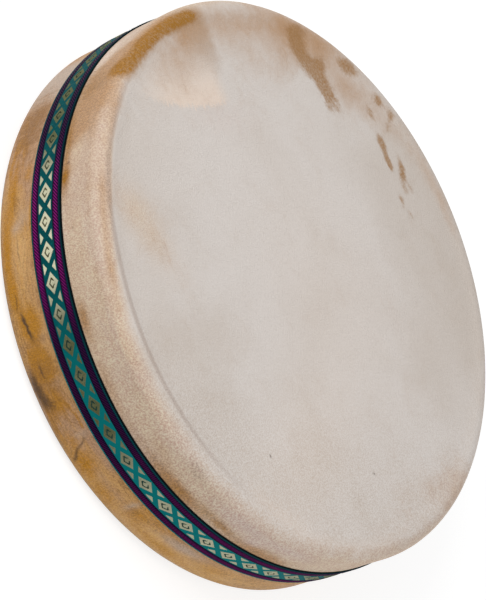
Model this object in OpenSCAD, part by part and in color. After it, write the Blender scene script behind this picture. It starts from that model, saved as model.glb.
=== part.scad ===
// Ocean drum: a shallow wooden hoop with a goatskin over each side and loose steel shot between the skins.
// The drum lies on its rear head, with its axis along Z and the played head up.

/* [Drum] */
// Diameter over the skins, without the ribbon
drum_d = 306; // [260:1:420]
// Depth over both heads
drum_h = 75; // [60:0.5:110]

/* [Hoop] */
// Thickness of each of the three bent plies
ply_t = 2.85; // [2:0.05:4]
// Glue line between two plies
glue_t = 0.1; // [0.05:0.01:0.2]
// Gap where the two ends of a ply meet
ply_end_gap = 0.4; // [0.1:0.1:2]
// Radius of the rounded outer edges
edge_r = 7.4; // [3:0.1:8]
// Least width of the flat ridge that a skin bears on
ridge_min_w = 1; // [0.5:0.1:3]

/* [Skins] */
// Thickness of the goatskin
skin_t = 0.7; // [0.5:0.05:1]
// Clearance between a skin and the hoop
skin_gap = 0.12; // [0.05:0.01:0.3]
// How far a head lies below its ridge
dish_h = 0.7; // [0.2:0.1:2]
// Width of the slope from the ridge to the flat of the head
slope_w = 9; // [4:0.5:20]
// Gap between the edges of the two skins under the ribbon
skin_edge_gap = 1.2; // [0.5:0.1:4]

/* [Tacks] */
// Tacks in each row
tack_count = 24; // [12:1:36]
// Distance of each row from mid-depth
tack_row_z = 5.8; // [5:0.1:7]
// Diameter of the flat head
tack_head_d = 7; // [4:0.1:8]
// Thickness of the flat head
tack_head_t = 0.35; // [0.2:0.01:0.4]
// Bevel round the head's outer edge
tack_bevel = 0.12; // [0.05:0.01:0.15]
// Diameter of the shank
tack_shank_d = 1.4; // [1:0.1:2]
// Length of the shank under the head
tack_len = 5; // [4:0.1:6]
// Length of the shank's point
tack_point = 1.8; // [1:0.1:2.5]
// How far the head lies below the skin's surface
tack_sink = 0.05; // [0.02:0.01:0.08]
// Clearance round a tack
tack_fit = 0.05; // [0.02:0.01:0.1]

/* [Ribbon] */
// Width of the woven ribbon
ribbon_w = 20.2; // [19:0.1:26]
// Thickness of the woven ribbon
ribbon_t = 0.6; // [0.3:0.05:1]
// Length of the ribbon's end over its start
ribbon_lap = 12; // [6:1:20]
// Length of the step where the end climbs over the start
ribbon_step = 5; // [3:0.5:10]
// Width of the black tape under the ribbon
tape_w = 20.8; // [18:0.1:26]
// Thickness of the black tape
tape_t = 0.2; // [0.1:0.05:0.4]
// Width of the black tape that shows past the ribbon's front edge
tape_show = 1.1; // [0.5:0.1:2]
// How far the ribbon and the tape lie towards the front of mid-depth
band_shift = 0.6; // [-1:0.1:1]
// Gap between the ends of the tape, and at the ribbon's start
band_end_gap = 0.6; // [0.3:0.1:2]
// Clearance under the tape and under the ribbon
band_gap = 0.05; // [0.03:0.01:0.1]

/* [Shot] */
// Diameter of the steel balls
ball_d = 4.5; // [3:0.1:6]
// Clearance of a resting ball from the skin or the hoop
ball_gap = 0.3; // [0.1:0.05:0.5]
// Distance between the middles of two rows
row_pitch = 24; // [24:0.5:26]
// How far a ball strays to either side of its row's middle
row_stray = 9; // [6:0.5:9]
// Least spacing of the balls along a row
row_step = 6.4; // [6.4:0.1:10]
// Balls in the ring along the hoop
rim_count = 44; // [20:1:60]
// How far a rim ball strays inwards
rim_stray = 3.5; // [1:0.5:5]
// Balls in the ring round the middle ball
centre_count = 6; // [4:1:6]
// Radius of the ring round the middle ball
centre_r = 7; // [6.5:0.1:8]

/* [Hidden] */
$fn = 96;

// Facets of a quarter round in an outline
round_steps = 12;
// Straight steps in the ribbon's turn round the drum, and in its lap
ribbon_facets = 180;
lap_facets = 3;
// Number of plies in the hoop
ply_count = 3;
// Overrun of a cut past the surface that it opens
cut_over = 1;
// Angle between one stray ball and the next, which never repeats
stray_turn = 137.5;
// Share of a row's half length that its balls cover at rest
row_fill_share = 0.4;
// Share of the radial stray of the balls round the middle one
centre_stray_share = 0.1;
// Azimuth where each ply's ends meet, from the outer to the inner
ply_end_az = [45, 165, 285];
// Azimuth of the ribbon's lap, and of the tape's ends
ribbon_az = 45;
tape_az = 62;

drum_r = drum_d / 2;
mid_z = drum_h / 2;
hoop_wall = ply_count * ply_t + (ply_count - 1) * glue_t;
hoop_r = drum_r - skin_t - skin_gap;
hoop_ri = hoop_r - hoop_wall;
hoop_half_h = mid_z - skin_t - skin_gap;
round_r = min(edge_r, hoop_wall - ridge_min_w);
skin_round_r = round_r + skin_gap + skin_t;
tack_r = tack_head_d / 2;
shank_r = tack_shank_d / 2;
tape_ri = drum_r + band_gap;
ribbon_ri = tape_ri + tape_t + band_gap;
band_top_z = mid_z + band_shift + (ribbon_w + tape_show) / 2;
ribbon_z = band_top_z - tape_show - ribbon_w;
tape_z = band_top_z - tape_w;
ball_r = ball_d / 2;
shot_z = dish_h + skin_t + ball_gap + ball_r;
rim_r = hoop_ri - ball_gap - ball_r;
// Gap between a ball of one group and the nearest path of another
group_gap = row_pitch - 2 * row_stray - ball_d;
reach_r = rim_r - rim_stray - ball_d - group_gap;
// Stray along a row that still keeps neighbours apart
step_stray = (row_step - ball_d - ball_gap) / 2;

function arc(cx, cy, r, from, to) = [
    for (i = [0 : round_steps])
        let (a = from + (to - from) * i / round_steps)
        [cx + r * cos(a), cy + r * sin(a)]
];
function stray(i, phase) = sin(stray_turn * (i + 1) * phase);
function arc_angle(length, r) = length / r * 180 / PI;
function polar(r, angle) = [r * cos(angle), r * sin(angle)];

// Outline of the whole hoop, centred on mid-depth
function hoop_outline() = let (c = hoop_half_h - round_r) concat(
    [[hoop_ri, -hoop_half_h]],
    arc(hoop_r - round_r, -c, round_r, -90, 0),
    arc(hoop_r - round_r, c, round_r, 0, 90),
    [[hoop_ri, hoop_half_h]]
);

// Outline of a stretched skin: down the side, over the round edge and the ridge, then in to the axis
function skin_outline() = let (
    c_r = drum_r - skin_round_r,
    c_z = mid_z - skin_round_r,
    flat_r = hoop_ri - slope_w,
    flat_z = mid_z - dish_h
) concat(
    [[drum_r, skin_edge_gap / 2]],
    arc(c_r, c_z, skin_round_r, 0, 90),
    [[hoop_ri, mid_z], [flat_r, flat_z], [0, flat_z]],
    [[0, flat_z - skin_t], [flat_r, flat_z - skin_t], [hoop_ri, mid_z - skin_t]],
    arc(c_r, c_z, skin_round_r - skin_t, 90, 0),
    [[drum_r - skin_t, skin_edge_gap / 2]]
);

// Places each child of a tack row, with its own Z pointing out of the hoop
module on_tack_row(side) {
    pitch = 360 / tack_count;
    phase = side > 0 ? pitch / 2 : 0;
    for (i = [0 : tack_count - 1])
        rotate([0, 0, i * pitch + phase])
            translate([drum_r - tack_sink, 0, mid_z + side * tack_row_z])
                rotate([0, 90, 0])
                    children();
}

module tack() {
    base_z = -tack_head_t;
    tip_z = base_z - tack_len;
    rotate_extrude()
        polygon([
            [0, 0],
            [tack_r - tack_bevel, 0],
            [tack_r, -tack_bevel],
            [tack_r, base_z],
            [shank_r, base_z],
            [shank_r, tip_z + tack_point],
            [0, tip_z]
        ]);
}

module tack_bore() {
    depth = tack_head_t + tack_len + tack_fit;
    translate([0, 0, -depth])
        cylinder(r = shank_r + tack_fit, h = depth + cut_over);
}

module tack_dent() {
    depth = tack_head_t + tack_fit;
    translate([0, 0, -depth])
        cylinder(r = tack_r + tack_fit, h = depth + cut_over);
}

// One bent ply: index 0 is the outer one
module ply(index) {
    outer_r = hoop_r - index * (ply_t + glue_t);
    gap_angle = arc_angle(ply_end_gap, outer_r);
    color("burlywood")
        difference() {
            translate([0, 0, mid_z])
                rotate([0, 0, ply_end_az[index] + gap_angle / 2])
                    rotate_extrude(angle = 360 - gap_angle)
                        intersection() {
                            polygon(hoop_outline());
                            translate([outer_r - ply_t, -mid_z])
                                square([ply_t, drum_h]);
                        }
            if (index < ply_count - 1) {
                on_tack_row(1) tack_bore();
                on_tack_row(-1) tack_bore();
            }
        }
}

// One stretched skin: side 1 is the front, side -1 is the rear
module skin(side) {
    difference() {
        translate([0, 0, mid_z])
            mirror([0, 0, side > 0 ? 0 : 1])
                rotate_extrude()
                    polygon(skin_outline());
        on_tack_row(side) {
            tack_bore();
            tack_dent();
        }
    }
}

// Part of a band round the drum, from one azimuth through an angle
module band(r, t, z, w, az, angle) {
    rotate([0, 0, az])
        rotate_extrude(angle = angle)
            translate([r, z])
                square([t, w]);
}

module backing_tape() {
    gap_angle = arc_angle(band_end_gap, tape_ri);
    color("black")
        band(tape_ri, tape_t, tape_z, tape_w, tape_az + gap_angle / 2, 360 - gap_angle);
}

// Places along the ribbon, in degrees from its start: once round, up the step and on over the start
function ribbon_places() = let (
    gap_angle = arc_angle(band_end_gap, ribbon_ri),
    step_angle = arc_angle(ribbon_step, ribbon_ri),
    lap_angle = arc_angle(ribbon_lap, ribbon_ri),
    foot = 360 - gap_angle - step_angle
) concat(
    [for (i = [0 : ribbon_facets]) foot * i / ribbon_facets],
    [foot + step_angle],
    [for (i = [0 : lap_facets]) 360 + lap_angle * i / lap_facets]
);

// Outline of the ribbon seen along the axis, a strip of even thickness that climbs over its own start
function ribbon_outline() = let (
    places = ribbon_places(),
    climb = ribbon_t + band_gap,
    rise = [for (i = [0 : len(places) - 1]) i > ribbon_facets ? climb : 0]
) concat(
    [for (i = [0 : len(places) - 1]) polar(ribbon_ri + rise[i], places[i])],
    [for (i = [len(places) - 1 : -1 : 0]) polar(ribbon_ri + rise[i] + ribbon_t, places[i])]
);

module ribbon() {
    color("teal")
        translate([0, 0, ribbon_z])
            rotate([0, 0, ribbon_az])
                linear_extrude(height = ribbon_w)
                    polygon(ribbon_outline());
}

module ball(x, y) {
    color("silver")
        translate([x, y, shot_z])
            sphere(r = ball_r);
}

module shot_centre() {
    ball(0, 0);
    for (i = [0 : centre_count - 1])
        let (
            a = i * 360 / centre_count,
            r = centre_r * (1 + centre_stray_share * stray(i, 1))
        )
        ball(r * cos(a), r * sin(a));
}

// Group that rolls along X through the middle, on one side of the centre balls: side -1 left and side 1 right
module shot_side(side) {
    inner_x = centre_r * (1 + centre_stray_share) + ball_d + group_gap + step_stray;
    outer_x = sqrt(reach_r * reach_r - row_stray * row_stray) - step_stray;
    middle_x = (inner_x + outer_x) / 2;
    count = floor((outer_x - inner_x) * row_fill_share / row_step);
    for (i = [0 : count])
        ball(
            side * (middle_x + (i - count / 2) * row_step + step_stray * stray(i, 2 + side)),
            row_stray * stray(i, 4 + side)
        );
}

module shot_rim() {
    for (i = [0 : rim_count - 1])
        let (
            a = i * 360 / rim_count,
            r = rim_r - rim_stray * (1 + stray(i, 1)) / 2
        )
        ball(r * cos(a), r * sin(a));
}

// One row that rolls along X: index 1 to 4 from the middle outwards, side -1 near and side 1 far
module shot_row(index, side) {
    row_y = side * index * row_pitch;
    outer_y = index * row_pitch + row_stray;
    half_x = sqrt(reach_r * reach_r - outer_y * outer_y);
    fill_x = half_x * row_fill_share;
    count = floor(2 * fill_x / row_step);
    for (i = [0 : count])
        ball(
            (i - count / 2) * row_step + step_stray * stray(i, index),
            row_y + row_stray * stray(i, index + 5 + side)
        );
}

ply(0);  // hoop_outer_ply
ply(1);  // hoop_core_ply
ply(2);  // hoop_inner_ply
color("wheat") skin(1);  // front_head
color("peru") skin(-1);  // rear_head
color("goldenrod") on_tack_row(1) tack();  // front_tacks
color("goldenrod") on_tack_row(-1) tack();  // rear_tacks
backing_tape();
ribbon();
shot_centre();
shot_side(-1);  // shot_left
shot_side(1);  // shot_right
shot_rim();
shot_row(1, -1);  // shot_row_near_1
shot_row(2, -1);  // shot_row_near_2
shot_row(3, -1);  // shot_row_near_3
shot_row(4, -1);  // shot_row_near_4
shot_row(1, 1);  // shot_row_far_1
shot_row(2, 1);  // shot_row_far_2
shot_row(3, 1);  // shot_row_far_3
shot_row(4, 1);  // shot_row_far_4
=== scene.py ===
"""Ocean drum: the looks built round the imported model.

The drum lies on its rear head, its axis along Z and the played head up.
The drum's own sizes are in millimetres, and distances in a material in metres. Angles are in degrees.
"""

import logging
import math
from dataclasses import dataclass, field
from enum import Enum
from typing import Any, Callable, Iterable, Sequence

import bpy
import numpy as np
from mathutils import Matrix, Vector


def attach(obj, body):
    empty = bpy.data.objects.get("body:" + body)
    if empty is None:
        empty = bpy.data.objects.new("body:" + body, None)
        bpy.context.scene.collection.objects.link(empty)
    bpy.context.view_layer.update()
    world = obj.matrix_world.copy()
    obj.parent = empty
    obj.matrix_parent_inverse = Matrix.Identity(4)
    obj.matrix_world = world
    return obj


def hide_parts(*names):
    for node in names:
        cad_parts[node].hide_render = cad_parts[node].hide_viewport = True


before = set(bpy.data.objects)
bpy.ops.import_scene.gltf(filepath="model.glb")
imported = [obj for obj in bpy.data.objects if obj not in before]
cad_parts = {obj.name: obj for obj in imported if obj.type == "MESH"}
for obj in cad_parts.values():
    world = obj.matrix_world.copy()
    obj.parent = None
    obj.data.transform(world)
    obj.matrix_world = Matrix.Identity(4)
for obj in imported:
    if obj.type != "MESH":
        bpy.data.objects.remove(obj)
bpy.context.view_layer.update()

LOG = logging.getLogger("ocean_drum")
MM = 0.001
DRUM = "drum"
WELD = 1e-6
# Azimuths of the painted glint on the ribbon's threads: lengthwise, lengthwise again, and crosswise
PAINTED_GLINT_AT = -115.0
PAINTED_GLINT_AGAIN_AT = -44.0
PAINTED_CROSS_GLINT_AT = -58.0
Colour = tuple[float, float, float, float]
Point = tuple[float, float, float]


def shade(red: int, green: int, blue: int) -> Colour:
    """Turns a display colour, each part from 0 to 255, into the linear colour that a shader takes.

    Args:
        red: Display red.
        green: Display green.
        blue: Display blue.

    Returns:
        The linear colour with full opacity.
    """
    parts = []
    for part in (red, green, blue):
        share = part / 255
        parts.append(share / 12.92 if share <= 0.04045 else ((share + 0.055) / 1.055) ** 2.4)
    return parts[0], parts[1], parts[2], 1.0


INK = shade(0, 0, 0)


def polar(radius: float, azimuth: float, height: float) -> Point:
    """Gives the point at a radius, an azimuth and a height."""
    turn = math.radians(azimuth)
    return radius * math.cos(turn), radius * math.sin(turn), height


class Side(Enum):
    """The two ends of the drum."""

    FRONT = 1
    REAR = -1

    @property
    def word(self) -> str:
        """The word for it in the names of nodes and pieces."""
        return self.name.lower()


class Term:
    """A node's output that takes part in Python expressions, each of which adds its Math nodes."""

    def __init__(self, graph: "Graph", socket: bpy.types.NodeSocket) -> None:
        """Keeps the graph and the socket that the term stands for."""
        self.graph = graph
        self.socket = socket

    def _maths(self, operation: str, *values: Any, clamp: bool = False) -> "Term":
        """Adds one Math node, whose result may be kept from 0 to 1."""
        settings = {"operation": operation, "use_clamp": clamp}
        return self.graph.add("ShaderNodeMath", settings, dict(enumerate(values)))

    def __add__(self, other: Any) -> "Term":
        """Gives self + other."""
        return self._maths("ADD", self, other)

    def __radd__(self, other: Any) -> "Term":
        """Gives other + self."""
        return self._maths("ADD", other, self)

    def __sub__(self, other: Any) -> "Term":
        """Gives self - other."""
        return self._maths("SUBTRACT", self, other)

    def __rsub__(self, other: Any) -> "Term":
        """Gives other - self."""
        return self._maths("SUBTRACT", other, self)

    def __mul__(self, other: Any) -> "Term":
        """Gives self * other."""
        return self._maths("MULTIPLY", self, other)

    def __rmul__(self, other: Any) -> "Term":
        """Gives other * self."""
        return self._maths("MULTIPLY", other, self)

    def __truediv__(self, other: Any) -> "Term":
        """Gives self / other."""
        return self._maths("DIVIDE", self, other)

    def __rtruediv__(self, other: Any) -> "Term":
        """Gives other / self."""
        return self._maths("DIVIDE", other, self)

    def __pow__(self, other: Any) -> "Term":
        """Gives self to the power other."""
        return self._maths("POWER", self, other)

    def sine(self) -> "Term":
        """Gives the sine of an angle in radians."""
        return self._maths("SINE", self)

    def cosine(self) -> "Term":
        """Gives the cosine of an angle in radians."""
        return self._maths("COSINE", self)

    def size(self) -> "Term":
        """Gives the absolute value."""
        return self._maths("ABSOLUTE", self)

    def held(self) -> "Term":
        """Gives the value kept from 0 to 1."""
        return self._maths("ADD", self, 0.0, clamp=True)

    def turn(self, other: Any) -> "Term":
        """Gives the angle in radians of the point whose y is self and whose x is other."""
        return self._maths("ARCTAN2", self, other)

    def near(self, middle: float, full: float, none: float) -> "Term":
        """Gives 1 within one distance of a value, falling smoothly to 0 at another."""
        return (self - middle).size().ramp(none, full)

    def ramp(self, low: float, high: float) -> "Term":
        """Gives a smooth step from 0 at low to 1 at high."""
        inputs = {"Value": self, "From Min": low, "From Max": high}
        return self.graph.add("ShaderNodeMapRange", {"interpolation_type": "SMOOTHSTEP"}, inputs)


class Graph:
    """A node tree that is written as Python."""

    def __init__(self, tree: bpy.types.NodeTree) -> None:
        """Keeps the tree."""
        self.tree = tree

    def add(
        self,
        kind: str,
        settings: dict[str, Any] | None = None,
        inputs: dict[int | str, Any] | None = None,
        output: int | str = 0,
    ) -> Term:
        """Adds one node, with its settings first and its sockets after them.

        Args:
            kind: The node's type.
            settings: The node's own properties.
            inputs: Values or terms for its input sockets, by name or place.
            output: The output that the answer stands for.

        Returns:
            The chosen output.
        """
        node = self.tree.nodes.new(kind)
        for name, value in (settings or {}).items():
            setattr(node, name, value)
        for name, value in (inputs or {}).items():
            if isinstance(value, Term):
                self.tree.links.new(value.socket, node.inputs[name])
            else:
                node.inputs[name].default_value = value
        return Term(self, node.outputs[output] if node.outputs else None)

    def parts(self, vector: Term) -> tuple[Term, Term, Term]:
        """Splits a vector into its three numbers.

        Args:
            vector: The vector.

        Returns:
            Its x, y and z.
        """
        first = self.add("ShaderNodeSeparateXYZ", inputs={0: vector})
        node = first.socket.node
        return first, Term(self, node.outputs[1]), Term(self, node.outputs[2])

    def join(self, x: Any, y: Any, z: Any) -> Term:
        """Makes a vector of three numbers."""
        return self.add("ShaderNodeCombineXYZ", inputs={0: x, 1: y, 2: z})

    def noise(self, place: Term, scale: Any, detail: float, **more: Any) -> Term:
        """Adds a Noise Texture.

        Args:
            place: Where it is read.
            scale: Its features per metre.
            detail: Its octaves.
            more: Roughness, Distortion or W, where W makes it four-dimensional.

        Returns:
            Its value, about 0.5 in the mean.
        """
        settings = {"noise_dimensions": "4D"} if "W" in more else {}
        inputs = {"Vector": place, "Scale": scale, "Detail": detail, **more}
        return self.add("ShaderNodeTexNoise", settings, inputs)


class Recipe(Graph):
    """One material."""

    def __init__(self, name: str) -> None:
        """Starts an empty material.

        Args:
            name: The material's name.
        """
        self.material = bpy.data.materials.new(name)
        self.material.use_nodes = True
        super().__init__(self.material.node_tree)
        self.tree.nodes.clear()

    def place(self) -> Term:
        """Gives the Object coordinates, in metres."""
        return self.add("ShaderNodeTexCoord", output="Object")

    def stretched(self, place: Term, factors: Point) -> Term:
        """Multiplies each coordinate, so that a pattern runs along one of them."""
        return self.add("ShaderNodeVectorMath", {"operation": "MULTIPLY"}, {0: place, 1: factors})

    def mark(self, name: str) -> Term:
        """Reads one of the mesh's own attributes."""
        settings = {"attribute_type": "GEOMETRY", "attribute_name": name}
        return self.add("ShaderNodeAttribute", settings, output="Fac")

    def round_from(self, azimuth: float) -> Term:
        """Gives the angle round the drum from an azimuth, in radians."""
        x, y, _ = self.parts(self.place())
        return y.turn(x) - math.radians(azimuth)

    def glint(self, again: float = 0.0) -> Term:
        """Gives the share of painted glint on lengthwise threads, which comes and goes round the drum.

        Args:
            again: How strongly the painted glint comes a second time, further round.

        Returns:
            The share.
        """
        turn = self.round_from(PAINTED_GLINT_AT)
        first = ((turn * 5).cosine() * 0.6 + (turn * 2).cosine() * 0.4).ramp(0.0, 1.0) ** 1.4
        return first + (self.round_from(PAINTED_GLINT_AGAIN_AT) * 2.3).cosine().ramp(0.2, 0.85) * again

    def painted_cross_glint(self) -> Term:
        """Gives the share of painted glint on crosswise threads."""
        return (self.round_from(PAINTED_CROSS_GLINT_AT) * 2).cosine().ramp(-0.3, 0.9)

    def ribs(self, way: Term, pitch: float) -> Term:
        """Gives a wave from 0 to 1 that repeats along a coordinate at a pitch in millimetres."""
        return (way * (2 * math.pi / (pitch * MM))).sine() * 0.5 + 0.5

    def tint(self, share: Any, under: Any, over: Any, blend: str = "MIX") -> Term:
        """Mixes two colours, of which the second shows as much as the share, by a way to blend them."""
        settings = {"data_type": "RGBA", "blend_type": blend, "clamp_result": True}
        return self.add("ShaderNodeMix", settings, {0: share, 6: under, 7: over}, 2)

    def relief(self, height: Term, depth: float, below: Term | None = None) -> Term:
        """Turns a height from 0 to 1 into a normal.

        Args:
            height: The height.
            depth: What a height of 1 stands for, in metres.
            below: A normal that this one adds to.

        Returns:
            The normal.
        """
        inputs: dict[int | str, Any] = {"Strength": 1.0, "Distance": depth, "Height": height}
        if below is not None:
            inputs["Normal"] = below
        return self.add("ShaderNodeBump", inputs=inputs)

    def surface(self, colour: Any, roughness: Any, normal: Term, **more: Any) -> bpy.types.Material:
        """Ends the material in a Principled BSDF.

        Args:
            colour: Its base colour.
            roughness: Its roughness.
            normal: Its normal.
            more: Other sockets, with underscores for the spaces in their names.

        Returns:
            The finished material.
        """
        inputs: dict[int | str, Any] = {"Base Color": colour, "Roughness": roughness, "Normal": normal}
        inputs.update({name.replace("_", " "): value for name, value in more.items()})
        return self.ended(self.add("ShaderNodeBsdfPrincipled", inputs=inputs))

    def ended(self, shader: Term) -> bpy.types.Material:
        """Links a shader to the material's output."""
        self.add("ShaderNodeOutputMaterial", inputs={"Surface": shader})
        return self.material


class Rule(Graph):
    """A geometry tree with named inputs, which ends in realized instances and a material."""

    def __init__(self, name: str, inputs: dict[str, str]) -> None:
        """Starts a tree with its named inputs, a geometry before them and a material after them.

        Args:
            name: The tree's name.
            inputs: Each input's name with the last word of its socket type.
        """
        super().__init__(bpy.data.node_groups.new(name, "GeometryNodeTree"))
        face = self.tree.interface
        face.new_socket("Geometry", in_out="OUTPUT", socket_type="NodeSocketGeometry")
        self.names: dict[str, str] = {}
        for label, kind in {"Geometry": "Geometry", **inputs, "Material": "Material"}.items():
            socket = face.new_socket(label, in_out="INPUT", socket_type=f"NodeSocket{kind}")
            self.names[label] = socket.identifier
        self.source = self.tree.nodes.new("NodeGroupInput")

    def given(self, name: str) -> Term:
        """Gives one of the tree's inputs."""
        return Term(self, self.source.outputs[name])

    def marked(self, geometry: Term, name: str, value: Term) -> Term:
        """Stores a number for each point as a named attribute."""
        inputs = {"Geometry": geometry, "Name": name, "Value": value}
        return self.add("GeometryNodeStoreNamedAttribute", {"data_type": "FLOAT", "domain": "POINT"}, inputs)

    def moved(self, geometry: Term, **where: Term) -> Term:
        """Sets each point's Position, or moves it by an Offset."""
        return self.add("GeometryNodeSetPosition", inputs={"Geometry": geometry, **where})

    def ended(self, geometry: Term) -> "Rule":
        """Realizes the instances, sets the material and links the output.

        Args:
            geometry: What the tree has made.

        Returns:
            The finished tree.
        """
        real = self.add("GeometryNodeRealizeInstances", inputs={0: geometry})
        dressed = self.add("GeometryNodeSetMaterial", inputs={0: real, "Material": self.given("Material")})
        self.tree.links.new(dressed.socket, self.tree.nodes.new("NodeGroupOutput").inputs[0])
        return self

    def made(self, name: str, start: bpy.types.Mesh, values: dict[str, Any]) -> bpy.types.Object:
        """Runs the tree on a mesh and bakes what it makes.

        Args:
            name: The piece's name.
            start: The mesh that the tree starts from.
            values: A value for each of its inputs, by name.

        Returns:
            The piece, a plain mesh with no modifier.
        """
        holder = linked(name + "_start", start)
        modifier = holder.modifiers.new("rule", "NODES")
        modifier.node_group = self.tree
        for label, value in values.items():
            modifier[self.names[label]] = value
        graph = bpy.context.evaluated_depsgraph_get()
        graph.update()
        mesh = bpy.data.meshes.new_from_object(holder.evaluated_get(graph), depsgraph=graph)
        bpy.data.objects.remove(holder)
        return linked(name, mesh)


def linked(name: str, data: Any) -> bpy.types.Object:
    """Makes an object at the origin and links it to the scene.

    Args:
        name: Its name.
        data: Its mesh, light or camera.

    Returns:
        The object.
    """
    thing = bpy.data.objects.new(name, data)
    bpy.context.scene.collection.objects.link(thing)
    return thing


def mesh_of(name: str, points: Iterable[Sequence[float]], faces: Iterable[Sequence[int]]) -> bpy.types.Mesh:
    """Makes a mesh of points and faces.

    Args:
        name: Its name.
        points: Its points.
        faces: The points of each face, by number.

    Returns:
        The mesh.
    """
    mesh = bpy.data.meshes.new(name)
    mesh.from_pydata([tuple(map(float, p)) for p in points], [], [tuple(f) for f in faces])
    mesh.update()
    return mesh


def smoothed(piece: bpy.types.Object, crease: float) -> None:
    """Shades a piece smooth, with sharp edges where its faces meet at more than an angle."""
    piece.data.shade_smooth()
    piece.data.set_sharp_from_angle(angle=math.radians(crease))


def placed(piece: bpy.types.Object, node: str) -> bpy.types.Object:
    """Lets a piece ride on the drum and stand for its node.

    Args:
        piece: The piece.
        node: The node.

    Returns:
        The same piece.
    """
    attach(piece, DRUM)
    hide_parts(node)
    return piece


@dataclass(frozen=True)
class DrumSizes:
    """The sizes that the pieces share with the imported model, in millimetres.

    Attributes:
        radius: The drum's radius over the skins.
        depth: Its depth over the ridges.
        hoop_inside: The hoop's inner radius.
        skin: The thickness of a skin.
        edge_round: The radius of a skin's bend over the hoop's edge.
        dish: How far a head lies below its ridge.
        slope: How far in from the hoop a head rises to its ridge.
        skin_gap: The gap between the two skins' cut edges.
        tack_row: How far each row of tacks lies from mid-depth.
        tacks: How many tacks hold each skin.
    """

    radius: float = 153.0
    depth: float = 75.0
    hoop_inside: float = 143.43
    skin: float = 0.7
    edge_round: float = 8.22
    dish: float = 0.7
    slope: float = 9.0
    skin_gap: float = 1.2
    tack_row: float = 5.8
    tacks: int = 24

    @property
    def middle(self) -> float:
        """Half the depth."""
        return self.depth / 2


SIZES = DrumSizes()


@dataclass(frozen=True)
class Blot:
    """A soft mark on a skin, longer one way than the other.

    Attributes:
        at: Its middle, in millimetres in the drum's frame.
        heading: The azimuth of its long axis.
        long: How far it reaches along that axis.
        wide: How far it reaches across it.
        strength: Its weight in the middle.
    """

    at: Point
    heading: float
    long: float
    wide: float
    strength: float

    def weight(self, points: np.ndarray) -> np.ndarray:
        """Gives the mark's weight at each point.

        Args:
            points: Points in millimetres, one a row.

        Returns:
            One weight for each point.
        """
        offset = points - np.array(self.at)
        along = offset @ np.array(polar(1, self.heading, 0))
        across = np.maximum((offset**2).sum(1) - along**2, 0)
        return self.strength * np.exp(-0.5 * ((along / self.long) ** 2 + across / self.wide**2))


def total(blots: Sequence[Blot], points: np.ndarray) -> np.ndarray:
    """Adds up the weights of several marks."""
    return np.sum([blot.weight(points) for blot in blots], axis=0) if blots else np.zeros(len(points))


@dataclass(frozen=True)
class SkinShell:
    """The meridian of one stretched skin, which the tree turns round the axis.

    Attributes:
        side: The end of the drum that it covers.
        sizes: The drum's shared sizes.
        head_rings: The rings on the flat of the outer face.
        slope_rings: Those up to its ridge.
        round_rings: Those over its round edge.
        wall_rings: Those down its side.
        inner_rings: The steps on the flat of the inner face.
        inner_turns: The steps round its edge.
        head_give: How far the hide may ripple on the flat, from 0 to 1.
        slope_give: The same at the foot of the slope.
        round_give: The same at the end of the round edge.
        wall_give: The same down the side.
        calm: The heights above mid-depth where the side's ripple has gone and where it begins to go.
    """

    side: Side
    sizes: DrumSizes = SIZES
    head_rings: int = 64
    slope_rings: int = 10
    round_rings: int = 14
    wall_rings: int = 16
    inner_rings: int = 14
    inner_turns: int = 6
    head_give: float = 0.15
    slope_give: float = 0.1
    round_give: float = 0.65
    wall_give: float = 0.8
    calm: tuple[float, float] = (9.0, 15.0)

    def outer(self) -> list[Point]:
        """Gives the outer face's radius, give and height above mid-depth, from the axis to the cut edge.

        Returns:
            A point for each ring.
        """
        size = self.sizes
        flat_r = size.hoop_inside - size.slope
        flat_z = size.middle - size.dish
        crest_r = size.radius - size.edge_round
        top = size.middle - size.edge_round
        low = size.skin_gap / 2
        line = [(flat_r * i / self.head_rings, self.head_give, flat_z) for i in range(self.head_rings)]
        for share in np.linspace(0, 1, self.slope_rings):
            fall = 1 - share**2
            rise = size.middle - size.dish * fall
            line.append((flat_r + size.slope * share, self.slope_give * fall, rise))
        line.append(((size.hoop_inside + crest_r) / 2, 0.0, size.middle))
        for i in range(self.round_rings):
            out, up, _ = polar(size.edge_round, 90 - 90 * i / (self.round_rings - 1), 0)
            line.append((crest_r + out, self.round_give * i / self.round_rings, top + up))
        for i in range(1, self.wall_rings + 1):
            z = top + (low - top) * i / self.wall_rings
            line.append((size.radius, float(np.interp(z, self.calm, (0.0, self.wall_give))), z))
        return line

    def inner(self) -> list[Point]:
        """Gives the inner face's radius, give and height, from the cut edge to the axis.

        Returns:
            A point for each ring.
        """
        size = self.sizes
        wall_r = size.radius - size.skin
        flat_r = size.hoop_inside - size.slope
        flat_z = size.middle - size.dish - size.skin
        crest_r = size.radius - size.edge_round
        centre_z = size.middle - size.edge_round
        line = [(wall_r, 0.0, size.skin_gap / 2), (wall_r, 0.0, centre_z / 2)]
        for i in range(self.inner_turns + 1):
            out, up, _ = polar(size.edge_round - size.skin, 90 * i / self.inner_turns, 0)
            line.append((crest_r + out, 0.0, centre_z + up))
        line.append((size.hoop_inside, 0.0, size.middle - size.skin))
        count = self.inner_rings
        return line + [(flat_r * (1 - i / count), 0.0, flat_z) for i in range(count + 1)]

    def mesh(self) -> bpy.types.Mesh:
        """Makes the meridian as a row of points: x is the radius, y the give and z the height.

        Returns:
            The mesh, which has no faces.
        """
        line = self.outer() + self.inner()
        points = [(r * MM, give, (z * self.side.value + self.sizes.middle) * MM) for r, give, z in line]
        return mesh_of("meridian", points, [])


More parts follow.
